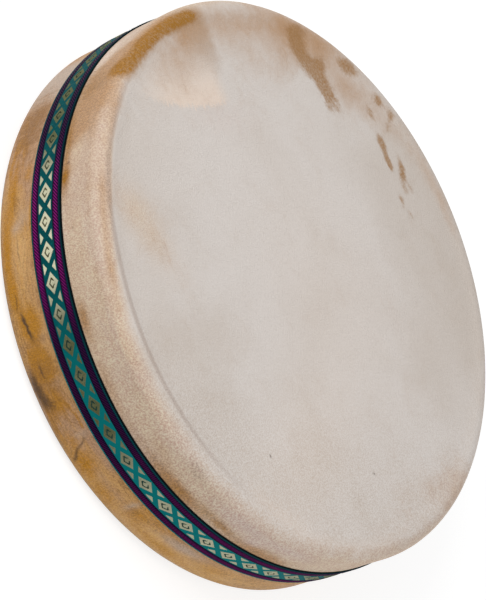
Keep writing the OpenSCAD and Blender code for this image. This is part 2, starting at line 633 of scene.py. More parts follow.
def turned_rule() -> Rule:
    """Builds the tree that turns a meridian of points round the axis and lets the hide ripple.

    Returns:
        The tree. Its inputs are the steps round, the points in the meridian, the ripple's height and scale,
        a seed, and whether the faces are turned over.
    """
    kinds = {"Steps": "Int", "Rings": "Int", "Ripple": "Float", "Ripple Scale": "Float", "Seed": "Float"}
    rule = Rule("turned_hide", {**kinds, "Turned Over": "Bool"})
    steps, rings = rule.given("Steps"), rule.given("Rings")
    grid = rule.add("GeometryNodeMeshGrid", inputs={"Vertices X": steps + 1, "Vertices Y": rings})
    index = rule.add("GeometryNodeInputIndex")
    step = rule.add("ShaderNodeMath", {"operation": "FLOOR"}, {0: (index + 0.5) / rings})
    here = rule.add("GeometryNodeInputPosition")
    spot = rule.add(
        "GeometryNodeSampleIndex",
        {"data_type": "FLOAT_VECTOR", "domain": "POINT"},
        {"Geometry": rule.given("Geometry"), "Value": here, "Index": index - step * rings},
    )
    radius, give, height = rule.parts(spot)
    kept = rule.marked(grid, "give", give)
    turn = step / steps * (2 * math.pi)
    shaped = rule.moved(kept, Position=rule.join(radius * turn.cosine(), radius * turn.sine(), height))
    over = {"Mesh": shaped, "Selection": rule.given("Turned Over")}
    flipped = rule.add("GeometryNodeFlipFaces", inputs=over)
    welded = rule.add("GeometryNodeMergeByDistance", inputs={"Geometry": flipped, "Distance": WELD})
    held = rule.add("GeometryNodeInputNamedAttribute", {"data_type": "FLOAT"}, {"Name": "give"})
    wave = rule.noise(here, rule.given("Ripple Scale"), 2.0, W=rule.given("Seed"))
    lift = (wave - 0.35) * rule.given("Ripple") * held
    normal = rule.add("GeometryNodeInputNormal")
    push = rule.add("ShaderNodeVectorMath", {"operation": "SCALE"}, {0: normal, "Scale": lift})
    return rule.ended(rule.moved(welded, Offset=push))


@dataclass(frozen=True)
class Crack:
    """A thin dark line in the hide on the drum's side.

    Attributes:
        start: The azimuth and the height in millimetres of one end.
        end: Those of the other.
        wide: How wide it is in millimetres.
        strength: How dark it is.
    """

    start: tuple[float, float]
    end: tuple[float, float]
    wide: float
    strength: float

    def share(self, mix: Recipe, place: Term) -> Term:
        """Gives the line's share at a place.

        Args:
            mix: The material's graph.
            place: The place.

        Returns:
            The share.
        """
        _, _, z = mix.parts(place)
        arc = mix.round_from(self.start[0]) * (SIZES.radius * MM)
        rise = z - self.start[1] * MM
        run = math.radians(self.end[0] - self.start[0]) * SIZES.radius * MM
        climb = (self.end[1] - self.start[1]) * MM
        length = math.hypot(run, climb)
        run, climb = run / length, climb / length
        wander = (mix.noise(place, 260, 4) - 0.5) * 0.003
        off = (rise * run - arc * climb + wander).near(0.0, 0.0, self.wide * 1.5 * MM)
        return off * (arc * run + rise * climb).near(length / 2, length * 0.2, length * 0.65) * self.strength


@dataclass(frozen=True)
class Goatskin:
    """A stretched goatskin: pale and grey over the hollow, warmer and grained over the wood.

    Attributes:
        name: The material's name.
        side: The end of the drum that it covers.
        flat: The hide over the hollow.
        cloud: Its darker clouds.
        wood: The hide over the hoop.
        blush: The hide over the hoop where it is pinker.
        tan: The warm hide towards the ribbon and in hazes.
        crest_shade: The painted shade of a thin line along the crest.
        ochre: The yellow patches.
        brown: The brown stains.
        umber: The dark marks.
        pale: The bleached hide, with painted highlight by the ribbon and along the crest.
        grey: The greyer patches.
        marbling: How strongly the hide over the hoop is streaked with ochre and blush.
        cracks: The thin dark lines in it.
        crest_shade_radius: The radius of that painted shade line, in metres.
    """

    name: str
    side: Side
    flat: Colour
    cloud: Colour
    wood: Colour
    blush: Colour
    tan: Colour
    crest_shade: Colour
    ochre: Colour
    brown: Colour
    umber: Colour
    pale: Colour
    grey: Colour
    marbling: float
    cracks: tuple[Crack, ...] = ()
    crest_shade_radius: float = 0.1468

    def material(self) -> bpy.types.Material:
        """Builds the material.

        Returns:
            The material, which reads the skin's own attributes for where each zone lies.
        """
        mix = Recipe(self.name)
        place = mix.place()
        patch = mix.noise(place, 42, 5, Roughness=0.62, Distortion=0.8)
        fine = mix.noise(place, 420, 4, Roughness=0.7)
        ragged = mix.noise(place, 240, 6, Roughness=0.8, Distortion=0.5) - 0.5
        frayed = ragged + (mix.noise(place, 900, 3, Roughness=0.7) - 0.5) * 0.6
        mottle = mix.noise(place, 700, 3, Roughness=0.65)
        pebble = mix.noise(mix.stretched(place, (1.0, 1.0, 0.7)), 1350, 2, Distortion=0.3)
        x, y, _ = mix.parts(place)
        radius = (x * x + y * y) ** 0.5
        streak = mix.noise(mix.join(x * 62 + y * 33, y * 230 - x * 122, 0.0), 1.0, 4, Roughness=0.7) - 0.5
        low = (x * 7.0 - y * 3.0).ramp(0.25, 0.9)
        colour = self._hollow(mix, place, patch, low)
        wood = (mix.mark("wood") + (patch - 0.5) * 0.3 + ragged * 0.25).ramp(0.02, 1.0)
        colour = mix.tint(wood, colour, self._over_wood(mix, place, patch))
        # Painted shade: a thin dark line along the crest, strongest round azimuth -105 degrees
        crest_shade_side = (x * -1.69 - y * 6.31).ramp(0.45, 0.92)
        line = (radius + x.ramp(-0.09, -0.03) * 0.003).near(self.crest_shade_radius, 0.0004, 0.0024)
        colour = mix.tint(line * crest_shade_side * 0.42, colour, self.crest_shade)
        colour = mix.tint(mix.mark("pale").held() * 0.9, colour, self.pale)
        grey = (mix.mark("grey") + (patch - 0.5) * 0.5 + ragged * 0.3).ramp(0.05, 1.0)
        colour = mix.tint(grey, colour, self.grey)
        warm = (mix.mark("warm") + (patch - 0.5) * 0.45 + ragged * 0.35).ramp(0.05, 0.85)
        colour = mix.tint(warm * 0.95, colour, self.tan)
        ochre = (mix.mark("ochre") + ragged * 0.6 + (patch - 0.5) * 0.3).ramp(0.02, 0.88)
        colour = mix.tint(ochre * (0.74 + mottle.ramp(0.28, 0.7) * 0.38), colour, self.ochre)
        brown = (mix.mark("brown") * 1.2 + frayed * 0.9 + streak * 1.1).ramp(0.18, 0.98)
        colour = mix.tint(brown * (0.58 + mottle.ramp(0.25, 0.7) * 0.4), colour, self.brown)
        umber = (mix.mark("umber") + frayed * 0.8).ramp(0.22, 1.05)
        colour = mix.tint(umber * (0.5 + mottle * 0.6), colour, self.umber)
        for crack in self.cracks:
            colour = mix.tint(crack.share(mix, place), colour, self.umber)
        colour = mix.tint((fine - 0.5).size() * 0.45, colour, self.cloud, "MULTIPLY")
        depth = (wood * 0.165 + low * (0.16 - wood * 0.07) + 0.035) * (1.0 - self.marbling * 0.3)
        colour = mix.tint(depth, colour, pebble.ramp(0.32, 0.68), "OVERLAY")
        normal = mix.relief(fine, 0.00018, mix.relief(pebble, 0.00045))
        roughness = 0.55 + (fine - 0.5) * 0.3 + (patch - 0.5) * 0.2
        return mix.surface(colour, roughness, normal, Specular_IOR_Level=0.3)

    def _hollow(self, mix: Recipe, place: Term, patch: Term, low: Term) -> Term:
        """Gives the colour of the hide over the hollow, with its clouds and what is its side's own.

        Args:
            mix: The material's graph.
            place: The Object coordinates.
            patch: The noise that its patches share.
            low: How far a place is on the duller side, from 0 to 1.

        Returns:
            The colour.
        """
        x, y, _ = mix.parts(place)
        radius = (x * x + y * y) ** 0.5
        clouds = mix.noise(place, 9, 3, Distortion=0.5).ramp(0.4, 0.7) * 0.5 + patch.ramp(0.4, 0.8) * 0.2
        rim = radius.ramp(0.07, 0.145) * (1.0 - low * 0.8)
        colour = mix.tint(clouds + rim * 0.3, self.flat, self.cloud)
        if self.side is Side.REAR:
            return self._back(mix, place, colour)
        colour = mix.tint(self._torn(mix, place, x, y) * 0.82, colour, self.pale)
        # A brown wedge beside a sharp edge on the head, partly stain and partly painted shadow
        smear_and_shadow = (y * -1.0 + (patch - 0.5) * 0.008).ramp(-0.0005, 0.008) * y.ramp(-0.04, -0.01)
        return mix.tint(smear_and_shadow * x.ramp(-0.108, -0.136) * 0.52, colour, self.brown)

    def _back(self, mix: Recipe, place: Term, colour: Term) -> Term:
        """Adds the darker line of the animal's back, and the amber pools and veins on both sides of it.

        Args:
            mix: The material's graph.
            place: The Object coordinates.
            colour: The colour under them.

        Returns:
            The colour.
        """
        x, y, _ = mix.parts(place)
        along, off = x * 0.88 + y * 0.47, y * 0.88 - x * 0.47
        hide = mix.join(along, off * 2.6, 0.0)
        pools = mix.noise(hide, 15, 6, Roughness=0.66, Distortion=1.3)
        veins = mix.noise(hide, 10, 4, Roughness=0.5, Distortion=0.9)
        hairs = mix.noise(mix.join(along * 70, off * 520, 0.0), 1.0, 4, Roughness=0.75) - 0.5
        wander = (mix.noise(place, 11, 3) - 0.5) * 0.05
        line = (off + wander + hairs * 0.012).near(0.0, 0.003, 0.024)
        colour = mix.tint(pools.ramp(0.44, 0.7) * 0.6, colour, self.wood)
        colour = mix.tint(line * 0.55, colour, self.tan)
        return mix.tint(veins.near(0.5, 0.0, 0.014) * 0.22, colour, self.brown)

    def _torn(self, mix: Recipe, place: Term, x: Term, y: Term) -> Term:
        """Gives the share of the bleached patch, which fades to one side and ends in hairs at the other.

        Args:
            mix: The material's graph.
            place: The Object coordinates.
            x: Its x.
            y: Its y.

        Returns:
            The share.
        """
        hairs = mix.noise(mix.stretched(place, (170.0, 640.0, 1.0)), 1.0, 4, Roughness=0.8) - 0.5
        off = y + 0.018
        edge = off * off * -4.5 - 0.0974
        inside = (edge + hairs * 0.016 - x).ramp(-0.0012, 0.002)
        ends = y.ramp(-0.086, -0.05) * (hairs * 0.006 - y).ramp(0.006, 0.02)
        return inside * ends * x.ramp(-0.134, -0.1)

    def _over_wood(self, mix: Recipe, place: Term, patch: Term) -> Term:
        """Gives the colour of the hide over the hoop, streaked lengthwise as far as its marbling goes.

        Args:
            mix: The material's graph.
            place: The Object coordinates.
            patch: The noise that its patches share.

        Returns:
            The colour.
        """
        long = mix.stretched(place, (1.0, 1.0, 3.4))
        pink = mix.noise(long, 15, 4, Distortion=0.8)
        amber = mix.noise(mix.stretched(place, (1.0, 1.0, 5.0)), 19, 6, Roughness=0.62, Distortion=1.1)
        vein = mix.noise(long, 34, 5, Roughness=0.7, Distortion=1.6)
        colour = mix.tint(pink.ramp(0.42, 0.62) * (0.4 + self.marbling * 0.4), self.wood, self.blush)
        colour = mix.tint(patch.ramp(0.4, 0.75) * 0.25, colour, self.tan)
        colour = mix.tint(amber.ramp(0.49, 0.6) * self.marbling * 0.75, colour, self.ochre)
        return mix.tint(vein.near(0.5, 0.0, 0.035) * self.marbling * 0.7, colour, self.brown)


FRONT_SKIN = Goatskin(
    name="front_goatskin",
    side=Side.FRONT,
    flat=shade(220, 212, 206),
    cloud=shade(203, 191, 180),
    wood=shade(213, 189, 164),
    blush=shade(206, 184, 172),
    tan=shade(182, 142, 104),
    crest_shade=shade(156, 132, 118),
    ochre=shade(154, 104, 18),
    brown=shade(157, 116, 69),
    umber=shade(92, 72, 56),
    pale=shade(237, 217, 200),
    grey=shade(210, 189, 180),
    marbling=0.0,
)
REAR_SKIN = Goatskin(
    name="rear_goatskin",
    side=Side.REAR,
    flat=shade(206, 188, 160),
    cloud=shade(190, 164, 130),
    wood=shade(202, 154, 92),
    blush=shade(184, 146, 118),
    tan=shade(182, 142, 106),
    crest_shade=shade(150, 108, 68),
    ochre=shade(184, 126, 24),
    brown=shade(140, 98, 50),
    umber=shade(74, 52, 32),
    pale=shade(230, 184, 122),
    grey=shade(192, 170, 152),
    marbling=1.0,
    cracks=(
        Crack((-77, 22.5), (-75.4, 13), 0.8, 0.6),
        Crack((-75.6, 14), (-73.2, 6.5), 1.0, 0.75),
        Crack((-127, 13.8), (-121, 15.6), 1.0, 0.22),
        Crack((-117, 16.6), (-111, 17.4), 0.7, 0.35),
        Crack((-102.8, 12.2), (-96.8, 15.8), 1.2, 0.95),
        Crack((-92.8, 14.4), (-89.5, 14), 0.8, 0.6),
        Crack((-106.5, 11.2), (-103, 10.4), 0.8, 0.5),
    ),
)


ZONES = ("wood", "warm", "ochre", "brown", "umber", "grey", "pale")


@dataclass
class Head:
    """One goatskin, stretched over the hoop and drawn down its side.

    Attributes:
        side: The end of the drum that it covers.
        finish: Its material.
        marks: For each zone, the marks that it adds up.
        sizes: The drum's shared sizes.
        steps: The steps round.
        ripple_mm: The height of its ripple.
        ripple_scale: The ripple's features per metre.
        seed: The ripple's seed.
        blank_mm: The diameter of the round blank that it was cut to.
        early_at: The azimuth where the colour over the wood starts soonest.
        early_spread: How far round that reaches, in degrees.
        early: There, how far inside the crest it starts and over how many millimetres it fades in.
        late: The same on the far side.
    """

    side: Side
    finish: Goatskin
    marks: dict[str, list[Blot]]
    sizes: DrumSizes = SIZES
    steps: int = 480
    ripple_mm: float = 0.5
    ripple_scale: float = 38.0
    seed: float = 3.0
    blank_mm: float = 370.0
    early_at: float = -122.0
    early_spread: float = 32.0
    early: tuple[float, float] = (1.0, 2.6)
    late: tuple[float, float] = (-0.5, 12.6)

    def reach(self, points: np.ndarray) -> np.ndarray:
        """Measures how far each point lies outwards from the crest along the skin.

        Args:
            points: Points in millimetres, one a row.

        Returns:
            The distance of each in millimetres, negative towards the middle.
        """
        size = self.sizes
        radius = np.hypot(points[:, 0], points[:, 1])
        height = (points[:, 2] - size.middle) * self.side.value
        crest = size.radius - size.edge_round
        over = height - (size.middle - size.edge_round)
        turn = np.arctan2(np.maximum(radius - crest, 0), np.maximum(over, 1e-6))
        shoulder = np.where(radius > crest, size.edge_round * turn, radius - crest)
        return np.where(over > 0, shoulder, size.edge_round * math.pi / 2 - over)

    def zones(self, points: np.ndarray) -> dict[str, np.ndarray]:
        """Works out how much of each zone each point is in.

        Args:
            points: The mesh's points in millimetres.

        Returns:
            A weight from 0 up for each zone.
        """
        azimuth = np.degrees(np.arctan2(points[:, 1], points[:, 0]))
        off = (azimuth - self.early_at + 180) % 360 - 180
        late = 1 - np.exp(-((off / self.early_spread) ** 2))
        lead, fade = (near + (far - near) * late for near, far in zip(self.early, self.late))
        found = {label: total(self.marks.get(label, []), points) for label in ZONES}
        found["wood"] += np.clip((self.reach(points) + lead) / fade, 0, 1)
        return found

    def build(self, rule: Rule) -> bpy.types.Object:
        """Args:
            rule: The tree that turns a meridian.

        Returns:
            The finished piece.
        """
        start = SkinShell(self.side, self.sizes).mesh()
        values = {
            "Steps": self.steps,
            "Rings": len(start.vertices),
            "Ripple": self.ripple_mm * MM,
            "Ripple Scale": self.ripple_scale,
            "Seed": self.seed,
            "Turned Over": self.side is Side.REAR,
            "Material": self.finish.material(),
        }
        piece = rule.made(f"{self.side.word}_goatskin", start, values)
        mesh = piece.data
        points = np.zeros(len(mesh.vertices) * 3, np.float32)
        mesh.vertices.foreach_get("co", points)
        points = points.reshape(-1, 3).astype(float) / MM
        for label, weights in self.zones(points).items():
            layer = mesh.attributes.new(label, "FLOAT", "POINT")
            layer.data.foreach_set("value", weights.astype(np.float32))
        smoothed(piece, 50)
        placed(piece, f"{self.side.word}_head")
        blank = self.blank_mm * MM
        area = math.pi * (blank / 2) ** 2
        return piece


def on_wall(azimuth: float, height: float) -> Point:
    """Gives the point of the drum's side at an azimuth and a height."""
    return polar(SIZES.radius, azimuth, height)


def on_shell(azimuth: float, reach: float) -> Point:
    """Gives the point on the front skin at a distance outwards from its crest, negative towards the middle.

    Args:
        azimuth: The point's azimuth.
        reach: The distance along the skin.

    Returns:
        The point in millimetres.
    """
    bend = SIZES.edge_round
    length = bend * math.pi / 2
    out, up, _ = polar(bend, 90 - math.degrees(min(max(reach, 0.0), length) / bend), 0)
    radius = SIZES.radius - bend + min(reach, 0.0) + out
    return polar(radius, azimuth, SIZES.depth - bend + up - max(reach - length, 0.0))


def head_blots(*rows: Sequence[float]) -> list[Blot]:
    """Lays marks on the played head, each by its x, y, heading, length, width and strength."""
    return [Blot((x, y, SIZES.depth - SIZES.dish), *rest) for x, y, *rest in rows]


def rear_blots(*rows: Sequence[float]) -> list[Blot]:
    """Lays marks on the rear head in the same way."""
    return [Blot((x, y, SIZES.dish), *rest) for x, y, *rest in rows]


def shell_blots(*rows: Sequence[float]) -> list[Blot]:
    """Lays marks on the front skin, each by its azimuth, reach, heading, length, width and strength."""
    return [Blot(on_shell(azimuth, reach), *rest) for azimuth, reach, *rest in rows]


def wall_blots(*rows: Sequence[float]) -> list[Blot]:
    """Lays marks on the drum's side, each by its azimuth, height, length round it, width and strength."""
    return [Blot(on_wall(azimuth, height), azimuth + 90, *rest) for azimuth, height, *rest in rows]


def trail(places: Sequence[tuple[float, float]], wide: float, strength: float, count: int) -> list[Blot]:
    """Lays marks in a row along a line on the front skin.

    Args:
        places: The line's azimuths and reaches, as on_shell takes them.
        wide: How far each mark reaches across the line.
        strength: The line's weight.
        count: How many marks lie along it.

    Returns:
        The marks.
    """
    corners = [on_shell(azimuth, reach) for azimuth, reach in places]
    ways = [0.0, *np.cumsum([math.dist(p, q) for p, q in zip(corners, corners[1:])])]
    stops = np.linspace(0, ways[-1], count)
    azimuths, reaches = (np.interp(stops, ways, values) for values in zip(*places))
    long = ways[-1] / (count - 1) * 0.8
    return shell_blots(*((a, r, a + 90, long, wide, strength / 2) for a, r in zip(azimuths, reaches)))


def front_marks() -> dict[str, list[Blot]]:
    """Gives the played head's marks for each of its zones.

    Returns:
        The marks of each zone.
    """
    brown = head_blots(
        (-121, 65, -5, 6, 4.6, 0.75), (-112, 67, 16, 6, 4.2, 0.72), (-101, 72, 39, 7.5, 5.4, 0.82),
        (-104, 80, 110, 4, 3, 0.75), (-89, 76, 9, 6.5, 4.4, 0.6), (-81, 79, 26, 7.5, 3.2, 0.42),
        (-79, 72, -14, 3, 2.4, 0.4), (-98, 103, 52, 6, 3.6, 0.95), (-75, 119, 35, 4.2, 2.8, 0.82),
        (-70, 108, 9, 3.6, 2.4, 0.65), (-65, 126, 38, 2.6, 2.4, 0.65), (-60, 120, -47, 4.5, 1.8, 0.5),
        (-53, 107.8, 20, 3.4, 2.8, 0.9), (-44.5, 107, 0, 4.4, 1.6, 0.95), (-38.5, 107.5, 12, 2.8, 1.4, 0.8),
        (-38, 117.2, 0, 3.8, 2, 0.72), (-31, 115, -15, 3.4, 2.3, 0.82), (-22.5, 118, 20, 2.8, 1.5, 0.5),
        (-23, 112, 9, 3.2, 1.8, 0.5), (-18, 105, -18, 3.4, 1.6, 0.6), (-9, 108, 20, 2.6, 1.4, 0.55),
        (-124, 73, 60, 5, 3.6, 0.6),
    )
    brown += wall_blots((-146, 56, 12, 9, 0.6), (-136, 49.5, 8, 3, 0.45))
    ochre = wall_blots(
        (-131.5, 50.8, 13, 2, 0.6), (-124.4, 51, 3.4, 2.2, 0.7), (-98, 51.5, 7, 2.2, 0.4),
        (-67, 51.5, 16, 3, 0.4), (-60, 52, 6, 3.5, 0.35), (-54, 54, 6, 4.5, 0.4), (-48.5, 53, 7, 3.2, 0.55),
        (-37, 53, 8, 4, 0.35),
    )
    ochre += shell_blots((-148.4, 7.4, -120, 6, 4, 0.5), (-146.6, 9.6, -115, 4, 3, 0.3))
    ochre += trail([(-175, 2), (-165.2, 3.2), (-157.5, 5.2)], 3.2, 1.15, 10)
    ochre += trail([(-156, 4.8), (-150.6, 7.2), (-148.2, 9.8), (-147.2, 12.8)], 3.2, 0.66, 8)
    ochre += trail([(-158, 1.5), (-151, 1.5), (-147.5, 3.4)], 2.6, 0.35, 5)
    warm = head_blots(
        (-122, 60, 65, 30, 10, 0.4), (-98, 90, 42, 34, 13, 0.3), (-80, 97, 40, 16, 8, 0.2),
        (-58, 124, 24, 30, 8, 0.22), (-10, 141, 4, 24, 3.5, 0.3), (-136, 14, 84, 18, 7, 0.3),
        (-108, 34, 70, 16, 9, 0.22), (-138, -22, -78, 8, 5, 0.26), (-132, -38, -75, 24, 11, 0.34),
        (-115, -40, -65, 26, 13, 0.17), (-118, 26, 80, 24, 12, 0.14), (-52, -99, 20, 18, 10, 0.1),
        (128, 30, 77, 34, 9, 0.2),
    )
    warm += shell_blots((150, 1, 240, 26, 6, 0.27), (178, 0, 268, 20, 5, 0.06))
    warm += wall_blots(
        (-146, 57, 11, 9, 0.8), (-135, 51, 11, 5, 0.9), (-124, 50, 9, 3.5, 0.8), (-97, 51, 9, 3.5, 0.65),
        (-153, 62, 8, 6, 0.5), (-142, 65, 9, 6, 0.5), (-86, 51, 10, 4, 0.4), (-78, 50, 16, 3, 0.4),
        (-61, 51, 14, 4.5, 1), (-70, 60, 8, 3, 0.3), (-136, 59, 9, 5, 0.4), (-133, 63, 6, 4, 0.3),
        (-38, 50, 18, 4.5, 0.95), (30, 56, 18, 6, 0.45), (95, 52, 14, 6, 0.5), (150, 55, 16, 6, 0.45),
    )
    # These three trails leave a lighter line about 8 mm out from the crest, a painted highlight on the
    # shoulder
    warm += trail([(-130, 5.6), (-123, 5)], 2, 0.22, 4)
    warm += trail([(-121, 4.8), (-110, 5.2), (-101, 5.4)], 1.8, 0.46, 9)
    warm += trail([(-140, 12), (-124, 12.2), (-108, 12.8), (-99, 12.4)], 2.2, 0.27, 13)
    warm += trail([(-33, 4.5), (-10, 4.5), (25, 4)], 3.2, 0.27, 12)
    warm += trail([(-14, -5), (15, -6), (48, -5)], 7, 0.13, 9)
    warm += trail([(-145, 6), (-138, 4.4), (-131, 3.6)], 3, 0.24, 6)
    warm += trail([(-168, 7), (-157, 10), (-149, 14)], 4, 0.5, 8)
    umber = head_blots((77, -86, 0, 0.7, 0.7, 1.2), (109, -12, 20, 0.7, 0.7, 1.2))
    umber += wall_blots(
        (-127.7, 52, 1.2, 1, 1), (-50, 55.5, 2, 1, 0.6), (-46.8, 52, 2, 1, 0.6), (-63, 69, 9, 4, 0.5),
        (-54.8, 71.5, 2.5, 1.4, 0.45), (-37, 56, 2.5, 1.2, 0.45), (-113.7, 56, 0.9, 0.9, 0.8),
        (-86, 74, 2, 1.5, 0.4),
    )
    grey = head_blots((-90, -22, 80, 22, 9, 0.3))
    grey += wall_blots(
        (-48, 65, 20, 7, 0.6), (-33, 66, 14, 6, 0.5), (-68, 70, 14, 5, 0.4), (-83, 70, 12, 4, 0.35),
        (-42, 53.5, 3.6, 4, 0.75), (-57.5, 51, 1.5, 2, 0.5), (-106, 71, 10, 2.5, 0.35),
    )
    pale = head_blots((85, -60, -60, 40, 22, 0.2), (12, 8, 0, 46, 38, 0.13))
    # The mark at -156 degrees by the ribbon and the two trails along the crest below are painted highlight
    pale += wall_blots((-156, 52, 9, 4, 0.6), (-73, 67, 8, 4, 0.22), (-50, 66, 9, 5, 0.16))
    pale += trail([(-50, -4), (-43, -2), (-36, -1)], 4, 0.18, 7)
    pale += trail([(-34, 3.4), (-22, 3), (-8, 3)], 3.2, 0.24, 9)
    wood = head_blots((-50, -112, 24, 24, 9, 0.5), (-62, -108, 40, 12, 8, 0.2))
    return dict(zip(ZONES, (wood, warm, ochre, brown, umber, grey, pale)))


def rear_marks() -> dict[str, list[Blot]]:
    """Gives the rear head's marks for each of its zones.

    Returns:
        The marks of each zone.
    """
    ochre = wall_blots(
        (-143, 10, 8, 2.5, 0.5), (-129.5, 23, 4, 2.5, 0.6), (-127, 13.5, 16, 2, 0.8), (-37, 17, 8, 4, 0.5),
        (-115, 9, 20, 2.6, 0.8), (-106, 10, 6, 2.5, 0.8), (-100, 17, 6, 5, 1.15), (-92, 16.5, 7, 5, 1.3),
        (-84.5, 15, 4.5, 5, 0.8), (-77.5, 12, 4, 3, 0.5), (-72.8, 13, 6, 5.5, 0.7), (-66, 10, 10, 4, 0.6),
        (-58, 19, 4.5, 5, 0.6), (-50, 11, 16, 3.2, 0.6),
    )
    ochre += rear_blots(
        (96, 44, 30, 30, 13, 0.6), (-92, -36, 28, 26, 12, 0.55), (-62, 98, 125, 26, 9, 0.5),
        (52, -96, 30, 20, 8, 0.5),
    )
    umber = rear_blots((110, 66, 28, 6, 3, 0.75), (-104, -52, 30, 5, 2.5, 0.7))
    umber += wall_blots(
        (-89, 7, 6.5, 2.4, 1.1), (-86, 9.5, 4, 2.6, 0.6), (-84.5, 12, 2.5, 4, 0.5), (60, 8, 6, 2.5, 0.6),
        (140, 18, 4, 2, 0.5),
    )
    warm = wall_blots((-147, 15, 14, 9, 0.5), (-105, 23, 14, 3, 0.35))
    brown = wall_blots((-142, 17, 18, 9, 0.8), (-90, 14, 20, 10, 0.5), (-59.5, 17.5, 3.5, 3.5, 0.55))
    brown += rear_blots(
        (108, 62, 28, 15, 7, 0.9), (90, 74, 5, 9, 4, 0.8), (118, 36, 64, 8, 4, 0.75),
        (80, 50, 35, 6, 3, 0.65), (70, 62, 20, 3.5, 2.5, 0.65), (-102, -48, 28, 12, 6, 0.85),
        (-86, -62, -15, 8, 3.5, 0.75),
        (-112, -24, 74, 7, 3.5, 0.7), (-76, -40, 25, 5, 2.5, 0.6), (22, -84, 15, 5, 3, 0.65),
        (36, -91, 40, 3, 2, 0.65), (-34, 98, 35, 8, 3, 0.65), (-20, 108, 10, 4, 2, 0.6),
    )
    grey = wall_blots(
        (-156, 14, 13, 12, 1.6), (-150, 16, 6, 10, 0.6), (-120, 21, 5, 4, 0.5), (-49, 19, 12, 3.6, 0.5),
        (-118.5, 15.5, 2.4, 2.4, 0.5), (-97, 21, 4.5, 3.5, 0.5), (-88.6, 18, 2, 5, 0.6),
        (-77.8, 19, 2, 7, 0.45), (-60.7, 19, 1.8, 5, 0.7), (-45, 22, 10, 2.5, 0.35),
    )
    pale = wall_blots(
        (-42, 11, 32, 7, 0.75), (-50, 12, 10, 4, 0.4), (-60, 9, 18, 4, 0.5), (-70, 9, 14, 5, 0.58),
        (-121, 6, 12, 4, 0.25), (-113, 18, 16, 4, 0.55),
    )
    return dict(zip(ZONES, ([], warm, ochre, brown, umber, grey, pale)))


@dataclass(frozen=True)
class Thread:
    """A woven thread whose base colour holds painted glint and painted shade round the drum.

    Attributes:
        name: The material's name.
        light: The thread with painted glint, where it would catch the light.
        dark: The thread away from the painted glint.
        roughness: Its roughness.
        twist: The scale of its fibres.
        across: Whether it runs across the ribbon, with its painted glint where lengthwise threads have none.
        again: How strongly its painted glint comes a second time, further round.
        front: What its colours are multiplied by on the ribbon's front half.
        strip: The middle and half the width of the border that it fills, in millimetres from the
            ribbon's middle.
        dusk: Its colour at that border's sides.
    """

    name: str
    light: Colour
    dark: Colour
    roughness: float
    twist: float = 1500.0
    across: bool = False
    again: float = 0.0
    front: float = 1.0
    strip: tuple[float, float] = (0.0, 0.0)
    dusk: Colour = INK

    def material(self) -> bpy.types.Material:
        """Builds the material.

        Returns:
            The material, whose two halves and border follow the band's own map.
        """
        mix = Recipe(self.name)
        place = mix.place()
        wear = mix.noise(place, 60, 3)
        fibre = mix.noise(place, self.twist, 2)
        # Painted glint: the base colour runs from dark to light by azimuth round the drum, as satin catches
        # the lamps
        glint = mix.painted_cross_glint() if self.across else mix.glint(self.again)
        share = glint * 0.85 + (wear * 0.5 + fibre * 0.5 - 0.5) * 0.6
        colour = mix.tint(share.held(), self.dark, self.light)
        shaded = mix.mark("across").ramp(-0.001, 0.001) * (1.0 - self.front)
        colour = mix.tint(shaded, colour, INK)
        middle, half = (size * MM for size in self.strip)
        if half:
            side = (mix.mark("across").size() - middle).size().ramp(half * 0.3, half)
            colour = mix.tint(side * 0.8, colour, self.dusk)
        rough = self.roughness + (wear - 0.5) * 0.2
        return mix.surface(colour, rough, mix.relief(fibre, 0.00006), Specular_IOR_Level=0.03)


@dataclass(frozen=True)
class RibbonGround:
    """The ribbon's ground: crosswise ribs in the middle, a dark twill under the cords and dark edges.

    Attributes:
        name: The material's name.
        light: The ribs with painted glint.
        dark: The ribs away from the painted glint.
        twill: The ground under the cords.
        lit: That ground with painted glint.
        border: Where each twill starts and ends across the ribbon, in millimetres from its middle.
        rib: The width of a rib in millimetres.
    """

    name: str
    light: Colour
    dark: Colour
    twill: Colour
    lit: Colour
    border: tuple[float, float]
    rib: float = 0.45

    def material(self) -> bpy.types.Material:
        """Builds the material.

        Returns:
            The material, whose ribs and twills follow the band's own map.
        """
        mix = Recipe(self.name)
        place = mix.place()
        across = mix.mark("across")
        off = across.size()
        low, high = (edge * MM for edge in self.border)
        weave = mix.ribs(mix.mark("along"), self.rib) * 0.6 + mix.ribs(across, self.rib * 1.2) * 0.4
        wear = mix.noise(place, 90, 3)
        # Painted glint: the crosswise ribs turn lighter and darker by azimuth round the drum
        share = mix.painted_cross_glint() * 0.8 + weave * 0.2 + (wear - 0.5) * 0.3
        colour = mix.tint(share.held(), self.dark, self.light)
        # Painted highlights: scattered bright cyan sparkle on the ribs
        painted_sparkle = mix.noise(place, 520, 3, Roughness=0.7).ramp(0.56, 0.7)
        colour = mix.tint(painted_sparkle * 0.5, colour, self.light)
        # Painted glint on the twill ground under the cords
        under = mix.tint(mix.glint() * off.ramp(low, low + 0.0009), self.twill, self.lit)
        colour = mix.tint(off.ramp(low - 0.0001, low + 0.0001), colour, under)
        colour = mix.tint(off.ramp(high - 0.0001, high + 0.0001), colour, self.dark)
        colour = mix.tint(across.ramp(high, high + 0.0002) * 0.6, colour, self.twill)
        return mix.surface(colour, 0.6, mix.relief(weave, 0.00008), Specular_IOR_Level=0.03)


@dataclass(frozen=True)
class PlainWeave:
    """A plain flat tape with fine ribs across it."""

    name: str
    light: Colour
    dark: Colour
    rib: float = 0.45

    def material(self) -> bpy.types.Material:
        """Builds the material.

        Returns:
            The material, whose ribs follow the band's own map.
        """
        mix = Recipe(self.name)
        wear = mix.noise(mix.place(), 90, 3)
        ribs = mix.ribs(mix.mark("along"), self.rib)
        colour = mix.tint((ribs * 0.6 + (wear - 0.5) * 0.6).held(), self.dark, self.light)
        return mix.surface(colour, 0.65, mix.relief(ribs, 0.00008), Specular_IOR_Level=0.03)
